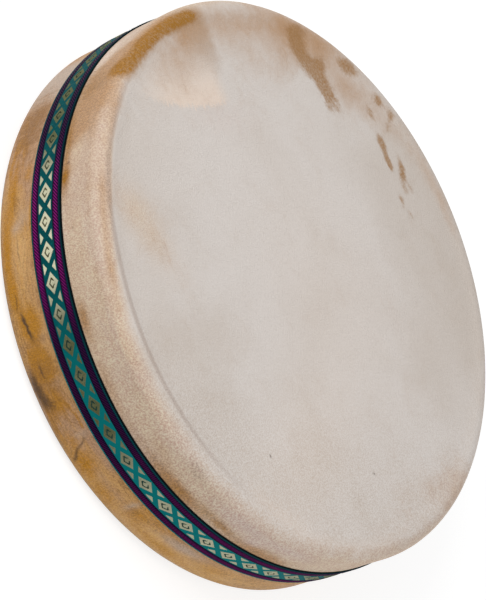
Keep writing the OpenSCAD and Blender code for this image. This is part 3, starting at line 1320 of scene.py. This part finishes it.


# Each light colour here is a thread's painted glint, and each dark colour the same dye away from it
GOLD = Thread("gold_thread", shade(234, 232, 202), shade(98, 102, 70), 0.5, again=0.65)
PURPLE = Thread(
    name="purple_cord",
    light=shade(152, 24, 124),
    dark=shade(58, 13, 56),
    roughness=0.5,
    again=0.3,
    strip=(7.4, 1.75),
    dusk=shade(30, 14, 56),
)
SELVAGE = Thread("teal_selvage", shade(30, 132, 142), shade(0, 78, 88), 0.55, across=True, front=0.3)
# The ring's olive threads are partly their own colour and partly painted shade of the ground between gold
# floats
OLIVE_AND_SHADE = Thread("olive_thread_and_shade", shade(96, 86, 50), shade(40, 46, 32), 0.6)
TEAL = RibbonGround(
    name="teal_weave",
    light=shade(6, 124, 126),
    dark=shade(0, 66, 70),
    twill=shade(12, 6, 32),
    lit=shade(42, 8, 48),
    border=(4.95, 9.3),
)
BLACK = PlainWeave("black_weave", shade(14, 28, 30), shade(4, 10, 12))


@dataclass(frozen=True)
class Strand:
    """A thread that lies flat on the ribbon, in millimetres: four sides, with tapered ends.

    Attributes:
        start: Its first end along and across the ribbon.
        end: Its other end.
        width: Its width.
        lift: The heights of its underside and its top.
        section: Its cross-section, in shares of its width and its height.
        tip: The length of a tapered end, at most a quarter of the thread.
        tip_high: The share of its height that is left at an end.
        tip_wide: The share of its width that wouldn't taper.
    """

    start: tuple[float, float]
    end: tuple[float, float]
    width: float
    lift: tuple[float, float]
    section: tuple[tuple[float, float], ...] = ((-0.5, 0.0), (-0.28, 1.0), (0.28, 1.0), (0.5, 0.0))
    tip: float = 0.25
    tip_high: float = 0.45
    tip_wide: float = 0.6

    def shape(self) -> tuple[list[Point], list[tuple[int, ...]]]:
        """Makes its points in millimetres and its faces.

        Returns:
            The points and the faces, which count from its own first point.
        """
        first, last = np.array(self.start), np.array(self.end)
        length = float(np.hypot(*(last - first)))
        way = (last - first) / length
        out = np.array([-way[1], way[0]])
        tip = min(self.tip, length / 4)
        low, high = self.lift
        points = []
        for reach, share in ((0, self.tip_high), (tip, 1), (length - tip, 1), (length, self.tip_high)):
            wide = self.width * (self.tip_wide + (1 - self.tip_wide) * share)
            for across, up in self.section:
                x, y = first + way * reach + out * across * wide
                points.append((x, y, low + (high - low) * up * share))
        count = len(self.section)
        faces = [tuple(range(count - 1, -1, -1)), tuple(range(3 * count, 4 * count))]
        for ring in range(3):
            faces += around(ring * count, count)
        return points, faces


def around(first: int, count: int) -> list[tuple[int, ...]]:
    """Makes the faces between one ring of points and the next, from the first point's number."""
    turns = [(first + i, first + (i + 1) % count) for i in range(count)]
    return [(a, b, b + count, a + count) for a, b in turns]


def bundle(name: str, strands: Iterable[Strand]) -> bpy.types.Mesh:
    """Joins threads into one mesh, in metres.

    Args:
        name: The mesh's name.
        strands: The threads.

    Returns:
        The mesh.
    """
    points: list[Point] = []
    faces: list[tuple[int, ...]] = []
    for strand in strands:
        own_points, own_faces = strand.shape()
        faces += [tuple(len(points) + i for i in face) for face in own_faces]
        points += [tuple(c * MM for c in point) for point in own_points]
    return mesh_of(name, points, faces)


def runs(inside: Callable[[float], bool], high: float, step: float = 0.05) -> list[tuple[float, float]]:
    """Finds the stretches of a line from 0 where a test holds.

    Args:
        inside: The test.
        high: Where the line ends.
        step: How finely it is searched.

    Returns:
        The start and the end of each stretch.
    """
    found = []
    began = None
    count = round(high / step)
    for i in range(count + 1):
        x = i * step
        if inside(x) and began is None:
            began = x
        if began is not None and (not inside(x) or i == count):
            found.append((began, x))
            began = None
    return found


def wrapped_rule() -> Rule:
    """Builds the tree that repeats a flat pattern and winds it round the drum.

    Returns:
        The tree. A pattern's x runs along the band, its y across it and its z out of it.
    """
    floats = ("Pitch", "Radius", "Start", "Foot", "Step", "Climb", "Middle", "Sway", "Waves")
    rule = Rule("wound_round", {"Count": "Int", **dict.fromkeys(floats, "Float")})
    spaced = {"Count": rule.given("Count"), "Offset": rule.join(rule.given("Pitch"), 0.0, 0.0)}
    line = rule.add("GeometryNodeMeshLine", {"mode": "OFFSET"}, spaced)
    pattern = {"Points": line, "Instance": rule.given("Geometry")}
    copies = rule.add("GeometryNodeInstanceOnPoints", inputs=pattern)
    flat = rule.add("GeometryNodeRealizeInstances", inputs={0: copies})
    along, across, out = rule.parts(rule.add("GeometryNodeInputPosition"))
    marked = rule.marked(rule.marked(flat, "along", along), "across", across)
    turn = rule.given("Start") + along / rule.given("Radius")
    climbed = ((along - rule.given("Foot")) / rule.given("Step")).ramp(0.0, 1.0)
    sway = (turn * rule.given("Waves")).cosine() * rule.given("Sway")
    radius = rule.given("Radius") + out + climbed * rule.given("Climb")
    height = rule.given("Middle") + across + sway
    place = rule.join(radius * turn.cosine(), radius * turn.sine(), height)
    return rule.ended(rule.moved(marked, Position=place))


@dataclass(frozen=True)
class Band:
    """A woven band round the drum, in millimetres.

    Attributes:
        inside: The radius of its underside.
        thick: Its thickness.
        wide: Its width.
        low: The height of its lower edge.
        start: The azimuth of its first end.
        length: Its whole length, along its underside.
        foot: The length before it climbs over its own start, past its end where it doesn't.
        step: The length of the climb.
        climb: How far it climbs.
        sway: How far it strays up and down.
        waves: How often it does so in a turn.
        steps: The steps along it.
        strips: The strips across its top.
        low_strips: Those across its underside.
        edge_share: The share of its thickness that its rounded edges take off each side.
    """

    inside: float
    thick: float
    wide: float
    low: float
    start: float
    length: float
    foot: float
    step: float = 1.0
    climb: float = 0.0
    sway: float = 0.3
    waves: float = 3.0
    steps: int = 720
    strips: int = 10
    low_strips: int = 4
    edge_share: float = 0.45

    def values(self, count: int, pitch: float, material: bpy.types.Material) -> dict[str, Any]:
        """Gives the winding tree's inputs.

        Args:
            count: How often the pattern repeats.
            pitch: The length of one repeat.
            material: The pattern's material.

        Returns:
            A value for each input.
        """
        lengths = {
            "Pitch": pitch,
            "Radius": self.inside,
            "Foot": self.foot,
            "Step": self.step,
            "Climb": self.climb,
            "Middle": self.low + self.wide / 2,
            "Sway": self.sway,
        }
        found: dict[str, Any] = {name: length * MM for name, length in lengths.items()}
        found |= {"Count": count, "Start": math.radians(self.start), "Waves": self.waves}
        return found | {"Material": material}

    def slab(self) -> bpy.types.Mesh:
        """Makes it flat, as a closed band with rounded edges.

        Returns:
            The band's mesh in metres.
        """
        edge = self.thick * self.edge_share
        half = self.wide / 2
        flat = half - edge
        top = [(y, self.thick) for y in np.linspace(flat, -flat, self.strips + 1)]
        low = [(y, 0.0) for y in np.linspace(-flat, flat, self.low_strips + 1)]
        ring = [(half, self.thick / 2), *top, (-half, self.thick / 2), *low]
        count = len(ring)
        ways = np.linspace(0, self.length, self.steps + 1)
        points = [(x * MM, y * MM, z * MM) for x in ways for y, z in ring]
        faces = [tuple(range(count - 1, -1, -1)), tuple(range(self.steps * count, len(points)))]
        for step in range(self.steps):
            faces += around(step * count, count)
        return mesh_of("band", points, faces)

    def woven(self, rule: Rule, name: str, finish: RibbonGround | PlainWeave) -> bpy.types.Object:
        """Winds it round the drum as one smooth piece.

        Args:
            rule: The winding tree.
            name: The piece's name.
            finish: Its material.

        Returns:
            The piece.
        """
        piece = rule.made(name, self.slab(), self.values(1, 0.0, finish.material()))
        smoothed(piece, 50)
        return piece

    @property
    def flat(self) -> tuple[float, float]:
        """Its flat size in metres."""
        return self.wide * MM, self.length * MM


@dataclass
class Trim:
    """The woven ribbon over its black tape, in millimetres.

    Attributes:
        ribbon: How the ribbon lies.
        tape: How the tape lies.
        repeats: How often the diamond repeats along the ribbon.
        shift: How far the pattern is moved along.
        diamond_half: Half a diamond's length along the ribbon and half its width across it.
        ring_half: The same of the ring in a diamond.
        ring_inside: The size of the gold inside the ring, as a share of the ring's.
        ring_corner: How far its corners are cut, where 1 makes it a diamond and 2 a rectangle.
        ring_gap: The share of its length that gold crosses on one side, which leaves the ring open.
        triangle_half: Half the base of the triangles between diamonds.
        triangle_apex: How far their tips lie from the ribbon's middle.
        gold_row: The pitch of the rows of gold thread.
        gold_least: The shortest gold thread.
        gold_fill: Its width as a share of its row.
        gold_lift: The heights of the gold threads' underside and top.
        olive_lift: Those of the olive threads in a ring.
        olive_least: Half the shortest of them.
        olive_taper: How far across the ring they taper away, as a share of half its width.
        border: Where each twill border starts and ends, from the ribbon's middle.
        cord_pitch: The pitch of its cords.
        cord_width: A cord's width as a share of that.
        cord_lean: How far a cord leans along the ribbon.
        cord_lift: The heights of a cord's underside and top.
        stitch_pitch: The pitch of the wraps over each edge.
        stitch_fill: A wrap's width as a share of that.
        stitch_ends: How far outside and inside the edge a wrap starts and ends.
        stitch_lean: How far a wrap leans.
        stitch_lift: The heights of a wrap's underside and top.
        end_room: The room that cords and wraps leave at the ribbon's end.
    """

    ribbon: Band = Band(
        inside=153.3,
        thick=0.34,
        wide=20.2,
        low=27.45,
        start=45.0,
        length=975.2,
        foot=957.6,
        step=5.0,
        climb=0.65,
    )
    tape: Band = Band(
        inside=153.05,
        thick=0.2,
        wide=20.8,
        low=27.95,
        start=62.11,
        length=961.0,
        foot=2000.0,
        strips=6,
    )
    repeats: int = 62
    shift: float = 2.2
    diamond_half: tuple[float, float] = (5.6, 4.05)
    ring_half: tuple[float, float] = (2.75, 1.75)
    ring_inside: float = 0.6
    ring_corner: float = 1.18
    ring_gap: float = 0.3
    triangle_half: float = 2.9
    triangle_apex: float = 1.75
    gold_row: float = 0.435
    gold_least: float = 0.25
    gold_fill: float = 0.98
    gold_lift: tuple[float, float] = (0.3, 0.52)
    olive_lift: tuple[float, float] = (0.3, 0.4)
    olive_least: float = 0.3
    olive_taper: float = 1.45
    border: tuple[float, float] = (5.6, 9.1)
    cord_pitch: float = 1.85
    cord_width: float = 0.3
    cord_lean: float = 4.4
    cord_lift: tuple[float, float] = (0.26, 0.55)
    stitch_pitch: float = 0.95
    stitch_fill: float = 0.8
    stitch_ends: tuple[float, float] = (0.06, 0.8)
    stitch_lean: float = 0.35
    stitch_lift: tuple[float, float] = (0.16, 0.46)
    end_room: float = 1.0

    @property
    def pitch(self) -> float:
        """The length of one repeat."""
        return self.ribbon.length / self.repeats

    def rows(self, half: float, more: int = 0) -> list[float]:
        """Gives the places of the rows that fill the ribbon to a distance from its middle, and of more."""
        count = round(2 * half / self.gold_row) + more
        return [(i - (count - 1) / 2) * self.gold_row for i in range(count)]

    def figure(self, y: float) -> Callable[[float], bool]:
        """Gives the test for gold along one row.

        Args:
            y: The row's place across the ribbon.

        Returns:
            A test of the place along the repeat.
        """
        half_x, half_y = self.diamond_half
        ring_x, ring_y = self.ring_half
        across = abs(y)

        def inside(x: float) -> bool:
            """Tells whether gold shows at a place along the row.

            Args:
                x: The place along the repeat.

            Returns:
                Whether it does.
            """
            near = abs((x - self.shift) % self.pitch - self.pitch / 2)
            if near / half_x + across / half_y <= 1:
                slant = (near / ring_x + across / ring_y) / self.ring_corner
                ring = max(near / ring_x, across / ring_y, slant)
                gap = y > 0 and near < ring_x * self.ring_gap
                return gap or not self.ring_inside < ring < 1
            rise = (across - self.triangle_apex) / (half_y - self.triangle_apex)
            return rise > 0 and self.pitch / 2 - near <= self.triangle_half * rise

        return inside

    def gold(self) -> bpy.types.Mesh:
        """Makes one repeat of the gold figures, in floats that run along the ribbon.

        Returns:
            The mesh.
        """
        wide = self.gold_row * self.gold_fill
        strands = []
        for y in self.rows(self.diamond_half[1]):
            for low, high in runs(self.figure(y), self.pitch):
                if high - low > self.gold_least:
                    strands.append(Strand((low, y), (high, y), wide, self.gold_lift))
        return bundle("gold", strands)

    def ring(self) -> bpy.types.Mesh:
        """Makes one repeat of the olive threads through the ring in a diamond, whose colour is partly
        painted shade.

        Returns:
            The mesh.
        """
        ring_x, ring_y = self.ring_half
        middle = self.pitch / 2 + self.shift
        strands = []
        for y in self.rows(ring_y, 2):
            reach = ring_x * min(1.0, self.olive_taper - abs(y) / ring_y)
            if reach > self.olive_least:
                ends = (middle - reach, y), (middle + reach, y)
                strands.append(Strand(*ends, self.gold_row, self.olive_lift))
        return bundle("ring", strands)

    def cord(self) -> bpy.types.Mesh:
        """Makes one leaning cord of each border.

        Returns:
            The mesh, with a cord on each side.
        """
        low, high = self.border
        ends = ((-high, -low), (low, high))
        wide = self.cord_pitch * self.cord_width
        return bundle("cord", [Strand((0.0, a), (self.cord_lean, b), wide, self.cord_lift) for a, b in ends])

    def stitch(self) -> bpy.types.Mesh:
        """Makes one wrap of thread over each edge.

        Returns:
            The mesh, with a wrap on each side.
        """
        half = self.ribbon.wide / 2
        outside, inside = half + self.stitch_ends[0], half - self.stitch_ends[1]
        strands = []
        for sign in (-1, 1):
            start, end = (0.0, sign * outside), (self.stitch_lean, sign * inside)
            strands.append(Strand(start, end, self.stitch_pitch * self.stitch_fill, self.stitch_lift))
        return bundle("stitch", strands)

    def build(self, rule: Rule) -> list[bpy.types.Object]:
        """Args:
            rule: The winding tree.

        Returns:
            The ribbon's and the tape's pieces.
        """
        band = self.ribbon
        cloth = band.woven(rule, "ribbon_ground", TEAL)
        cords = int((band.length - self.cord_lean - self.end_room) / self.cord_pitch)
        stitches = int((band.length - self.end_room) / self.stitch_pitch)
        pieces = [cloth]
        for name, start, count, pitch, thread in (
            ("ribbon_gold", self.gold(), self.repeats, self.pitch, GOLD),
            ("ribbon_rings", self.ring(), self.repeats, self.pitch, OLIVE_AND_SHADE),
            ("ribbon_cords", self.cord(), cords, self.cord_pitch, PURPLE),
            ("ribbon_selvage", self.stitch(), stitches, self.stitch_pitch, SELVAGE),
        ):
            pieces.append(rule.made(name, start, band.values(count, pitch, thread.material())))
        for piece in pieces:
            placed(piece, "ribbon")
        band.flat
        strip = placed(self.tape.woven(rule, "black_tape_strip", BLACK), "backing_tape")
        self.tape.flat
        return [*pieces, strip]


@dataclass(frozen=True)
class Brass:
    """Dull brass-plated steel, as on upholstery tacks."""

    name: str = "tack_brass"

    def material(self) -> bpy.types.Material:
        """Builds the material.

        Returns:
            The material, with brown stains and fine scratches.
        """
        mix = Recipe(self.name)
        place = mix.place()
        stain = mix.noise(place, 220, 4)
        scratch = mix.noise(mix.stretched(place, (1.0, 1.0, 6.0)), 900, 2)
        colour = mix.tint(stain.ramp(0.45, 0.7), shade(196, 160, 88), shade(120, 92, 50))
        return mix.surface(colour, 0.32 + stain * 0.25, mix.relief(scratch, 0.00003), Metallic=1.0)


@dataclass
class TackRow:
    """One row of tacks that holds a skin to the hoop, under the ribbon, in millimetres.

    Attributes:
        side: The skin that it holds.
        sizes: The drum's shared sizes.
        head_radius: The radius of a tack's head.
        head_thick: Its thickness.
        bevel: The bevel round it.
        shank: The shank's radius.
        length: Its length.
        point: The length of its point.
        sink: How far a head is pressed into the skin.
        facets: The facets round a tack.
    """

    side: Side
    sizes: DrumSizes = SIZES
    head_radius: float = 3.5
    head_thick: float = 0.35
    bevel: float = 0.12
    shank: float = 0.7
    length: float = 5.0
    point: float = 1.8
    sink: float = 0.05
    facets: int = 20

    def tack(self) -> bpy.types.Mesh:
        """Makes one tack, its x pointing out of the hoop.

        Returns:
            The tack's mesh.
        """
        base = -self.head_thick
        tip = base - self.length
        line = [
            (self.head_radius - self.bevel, 0.0),
            (self.head_radius, -self.bevel),
            (self.head_radius, base),
            (self.shank, base),
            (self.shank, tip + self.point),
        ]
        points: list[Point] = [(0.0, 0.0, 0.0)]
        for radius, out in line:
            for i in range(self.facets):
                y, z, _ = polar(radius, 360 * i / self.facets, 0)
                points.append((out * MM, y * MM, z * MM))
        points.append((tip * MM, 0.0, 0.0))
        end = len(points) - 1
        faces: list[tuple[int, ...]] = []
        for ring in range(len(line) - 1):
            faces += [face[::-1] for face in around(1 + ring * self.facets, self.facets)]
        for i in range(self.facets):
            j = (i + 1) % self.facets
            faces += [(0, 1 + i, 1 + j), (end - self.facets + i, end, end - self.facets + j)]
        return mesh_of("tack", points, faces)

    def rule(self) -> Rule:
        """Builds the tree that sets a tack at each even step round the hoop.

        Returns:
            The tree. Its inputs are how many tacks, the row's radius and height, and its phase.
        """
        rule = Rule("tack_row", {"Count": "Int", "Radius": "Float", "Height": "Float", "Phase": "Float"})
        points = rule.add("GeometryNodeMeshLine", {"mode": "OFFSET"}, {"Count": rule.given("Count")})
        index = rule.add("GeometryNodeInputIndex")
        turn = rule.given("Phase") + index / rule.given("Count") * (2 * math.pi)
        radius = rule.given("Radius")
        place = rule.join(radius * turn.cosine(), radius * turn.sine(), rule.given("Height"))
        spread = rule.moved(points, Position=place)
        aim = {"Points": spread, "Instance": rule.given("Geometry"), "Rotation": rule.join(0.0, 0.0, turn)}
        return rule.ended(rule.add("GeometryNodeInstanceOnPoints", inputs=aim))

    def build(self) -> bpy.types.Object:
        """Sets the row and lets it stand for its node.

        Returns:
            The row, as one piece.
        """
        size = self.sizes
        values = {
            "Count": size.tacks,
            "Radius": (size.radius - self.sink) * MM,
            "Height": (size.middle + self.side.value * size.tack_row) * MM,
            "Phase": math.pi / size.tacks if self.side is Side.FRONT else 0.0,
            "Material": Brass().material(),
        }
        piece = self.rule().made(f"{self.side.word}_brass_tacks", self.tack(), values)
        smoothed(piece, 30)
        return placed(piece, f"{self.side.word}_tacks")


@dataclass(frozen=True)
class BentWood:
    """Steam-bent hardwood, with its grain round the hoop."""

    name: str
    light: Colour
    dark: Colour

    def material(self) -> bpy.types.Material:
        """Builds the material, whose grain is short up and long every other way.

        Returns:
            The material, with grain lines and pores.
        """
        mix = Recipe(self.name)
        place = mix.place()
        drift = mix.noise(place, 9, 2)
        lines = mix.noise(mix.stretched(place, (9.0, 9.0, 420.0)), 1.0, 5, Roughness=0.65, Distortion=0.4)
        pores = mix.noise(mix.stretched(place, (60.0, 60.0, 1600.0)), 1.0, 2)
        colour = mix.tint((lines + (drift - 0.5) * 0.4).ramp(0.35, 0.7), self.light, self.dark)
        colour = mix.tint(pores.ramp(0.6, 0.75) * 0.5, colour, self.dark)
        return mix.surface(colour, 0.45 + pores * 0.3, mix.relief(lines * 0.6 + pores * 0.4, 0.00015))


@dataclass(frozen=True)
class PolishedSteel:
    """Bearing steel: bright, with fine scuffs from rolling."""

    name: str = "shot_steel"

    def material(self) -> bpy.types.Material:
        """Builds the material.

        Returns:
            The material, with a faint haze under its scuffs.
        """
        mix = Recipe(self.name)
        place = mix.place()
        scuff = mix.noise(place, 1400, 3)
        haze = mix.noise(place, 240, 2)
        colour = mix.tint(haze.ramp(0.4, 0.7), shade(206, 208, 210), shade(176, 178, 182))
        rough = 0.12 + scuff.ramp(0.5, 0.8) * 0.25
        return mix.surface(colour, rough, mix.relief(scuff, 0.00001), Metallic=1.0)


@dataclass
class Hoop:
    """The three plies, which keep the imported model's shapes."""

    plies: dict[str, BentWood] = field(
        default_factory=lambda: {
            "hoop_outer_ply": BentWood("outer_ply_wood", shade(214, 178, 132), shade(172, 128, 84)),
            "hoop_core_ply": BentWood("core_ply_wood", shade(204, 166, 120), shade(158, 116, 76)),
            "hoop_inner_ply": BentWood("inner_ply_wood", shade(210, 172, 124), shade(164, 120, 78)),
        }
    )

    def build(self) -> list[str]:
        """Dresses each ply.

        Returns:
            The plies' names.
        """
        for node, wood in self.plies.items():
            redress(node, wood.material())
        return list(self.plies)


@dataclass
class Shot:
    """The loose steel balls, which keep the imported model's shapes."""

    finish: PolishedSteel = PolishedSteel()

    def build(self) -> list[str]:
        """Dresses every group of balls.

        Returns:
            The groups' names.
        """
        steel = self.finish.material()
        groups = sorted(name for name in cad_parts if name.startswith("shot_"))
        for node in groups:
            redress(node, steel)
        return groups


def redress(node: str, material: bpy.types.Material) -> None:
    """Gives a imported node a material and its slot, and leaves its mesh alone.

    Args:
        node: The node.
        material: Its material.
    """
    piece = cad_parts[node]
    piece.data.materials.clear()
    piece.data.materials.append(material)


@dataclass(frozen=True)
class Lamp:
    """A soft square lamp that looks at the drum.

    Attributes:
        name: The lamp's name.
        way: The direction from the drum to the lamp.
        share: The light that it adds on a surface that faces it, where 1 shows a colour as it is written.
        away: Its distance in metres.
        side: The length of its sides.
    """

    name: str
    way: Point
    share: float
    away: float = 1.7
    side: float = 1.2

    def build(self, target: Vector) -> None:
        """Hangs the lamp.

        Args:
            target: The point that it looks at.
        """
        light = bpy.data.lights.new(self.name, "AREA")
        light.shape = "SQUARE"
        light.size = self.side
        light.energy = self.share * (math.pi * self.away) ** 2
        lamp = linked(self.name, light)
        way = Vector(self.way).normalized()
        lamp.location = target + way * self.away
        lamp.rotation_mode = "QUATERNION"
        lamp.rotation_quaternion = way.to_track_quat("Z", "Y")


@dataclass
class Studio:
    """The floor, the light and the camera.

    Attributes:
        elevation: The camera's height above the horizon.
        roll: How far the camera is rolled.
        away: Its distance from the drum's middle, in drum radii.
        focal: Its focal length in pixels of the photograph.
        frame_size: The photograph's size in pixels.
        middle_at: Where the drum's middle lies in the photograph.
        floor_half: Half the floor's side in metres.
        floor_grey: What the floor gives back to the drum.
        floor_matt: Its shade for the camera, which the shadow darkens.
        floor_glow: The light that it adds to that, so that it shows as white.
        dome: The light of the sky on the drum, where the camera sees it as 1.
        lamps: The lamps.
        sizes: The drum's shared sizes.
    """

    elevation: float = math.degrees(0.662)
    roll: float = math.degrees(1.1945)
    away: float = 8.8098
    focal: float = 2547.98
    frame_size: tuple[int, int] = (486, 600)
    middle_at: tuple[float, float] = (256.943, 293.452)
    floor_half: float = 4.0
    floor_grey: float = 0.6
    floor_matt: float = 0.42
    floor_glow: float = 0.72
    dome: float = 0.5
    lamps: tuple[Lamp, ...] = (
        Lamp("key_lamp", (-0.71, -0.41, 0.57), 0.58),
        Lamp("fill_lamp", (0.8, -0.25, 0.5), 0.25, 1.9, 1.4),
    )
    sizes: DrumSizes = SIZES

    def camera(self) -> None:
        """Sets the camera as the photograph was taken."""
        size = self.sizes
        lift, roll = math.radians(self.elevation), math.radians(self.roll)
        back = Vector((0, -math.cos(lift), math.sin(lift)))
        right = Vector((1, 0, 0))
        up = back.cross(right)
        rolled_right = right * math.cos(roll) + up * math.sin(roll)
        rolled_up = up * math.cos(roll) - right * math.sin(roll)
        width, height = self.frame_size
        x = (self.middle_at[0] - width / 2) / self.focal
        y = -(self.middle_at[1] - height / 2) / self.focal
        away = self.away * size.radius * MM
        target = (rolled_right * x + rolled_up * y - back) * away
        data = bpy.data.cameras.new("camera")
        data.sensor_width = 36.0
        data.lens = self.focal * data.sensor_width / height
        data.clip_start, data.clip_end = 0.01, 50.0
        camera = linked("camera", data)
        turn = Matrix((rolled_right, rolled_up, back)).transposed()
        camera.rotation_mode = "QUATERNION"
        camera.rotation_quaternion = turn.to_quaternion()
        camera.location = Vector((0, 0, size.middle * MM)) - target
        bpy.context.scene.camera = camera

    def seen(self, graph: Graph) -> Term:
        """Gives 1 for what the camera, a reflection or a refraction sees, and 0 for the light itself.

        Args:
            graph: The graph that asks.

        Returns:
            The share.
        """
        path = graph.add("ShaderNodeLightPath").socket.node
        camera, glossy, through = (
            Term(graph, path.outputs[f"Is {ray} Ray"]) for ray in ("Camera", "Glossy", "Transmission")
        )
        return (camera + glossy + through).held()

    def world(self) -> None:
        """Sets an even pale dome, which shows as white."""
        world = bpy.data.worlds.new("studio")
        world.use_nodes = True
        bpy.context.scene.world = world
        graph = Graph(world.node_tree)
        world.node_tree.nodes.clear()
        strength = self.dome + self.seen(graph) * (1 - self.dome)
        light = graph.add("ShaderNodeBackground", inputs={"Color": (1, 1, 1, 1), "Strength": strength})
        graph.add("ShaderNodeOutputWorld", inputs={"Surface": light})

    def floor(self) -> None:
        """Lays a pale floor that shows as white and keeps the drum's shadow."""
        half = self.floor_half
        corners = [(-half, -half, 0), (half, -half, 0), (half, half, 0), (-half, half, 0)]
        floor = linked("floor", mesh_of("floor", corners, [(0, 1, 2, 3)]))
        mix = Recipe("pale_floor")
        grey, matt = (
            mix.add("ShaderNodeBsdfDiffuse", inputs={"Color": (part, part, part, 1)})
            for part in (self.floor_grey, self.floor_matt)
        )
        glow = mix.add("ShaderNodeEmission", inputs={"Color": (1, 1, 1, 1), "Strength": self.floor_glow})
        white = mix.add("ShaderNodeAddShader", inputs={0: matt, 1: glow})
        mixed = mix.add("ShaderNodeMixShader", inputs={0: self.seen(mix), 1: grey, 2: white})
        floor.data.materials.append(mix.ended(mixed))

    def build(self) -> None:
        """Sets the camera, the light and the floor."""
        self.camera()
        self.world()
        self.floor()
        target = Vector((0, 0, self.sizes.middle * MM))
        for lamp in self.lamps:
            lamp.build(target)
        bpy.context.scene.view_settings.view_transform = "Standard"


def main() -> None:
    """Builds the drum's looks in order and reports each sub-assembly."""
    logging.basicConfig(level=logging.INFO, format="%(name)s: %(message)s")
    studio = Studio()
    studio.build()
    LOG.info("studio: camera, dome, %d lamps and floor", len(studio.lamps))
    LOG.info("hoop: %s", ", ".join(Hoop().build()))
    turned = turned_rule()
    for head in (
        Head(Side.FRONT, FRONT_SKIN, front_marks()),
        Head(Side.REAR, REAR_SKIN, rear_marks(), ripple_mm=0.8, seed=7.0),
    ):
        LOG.info("head: %s", head.build(turned).name)
    for side in Side:
        LOG.info("tacks: %s", TackRow(side).build().name)
    for piece in Trim().build(wrapped_rule()):
        LOG.info("trim: %s", piece.name)
    LOG.info("shot: %d groups", len(Shot().build()))


if __name__ == "__main__":
    main()
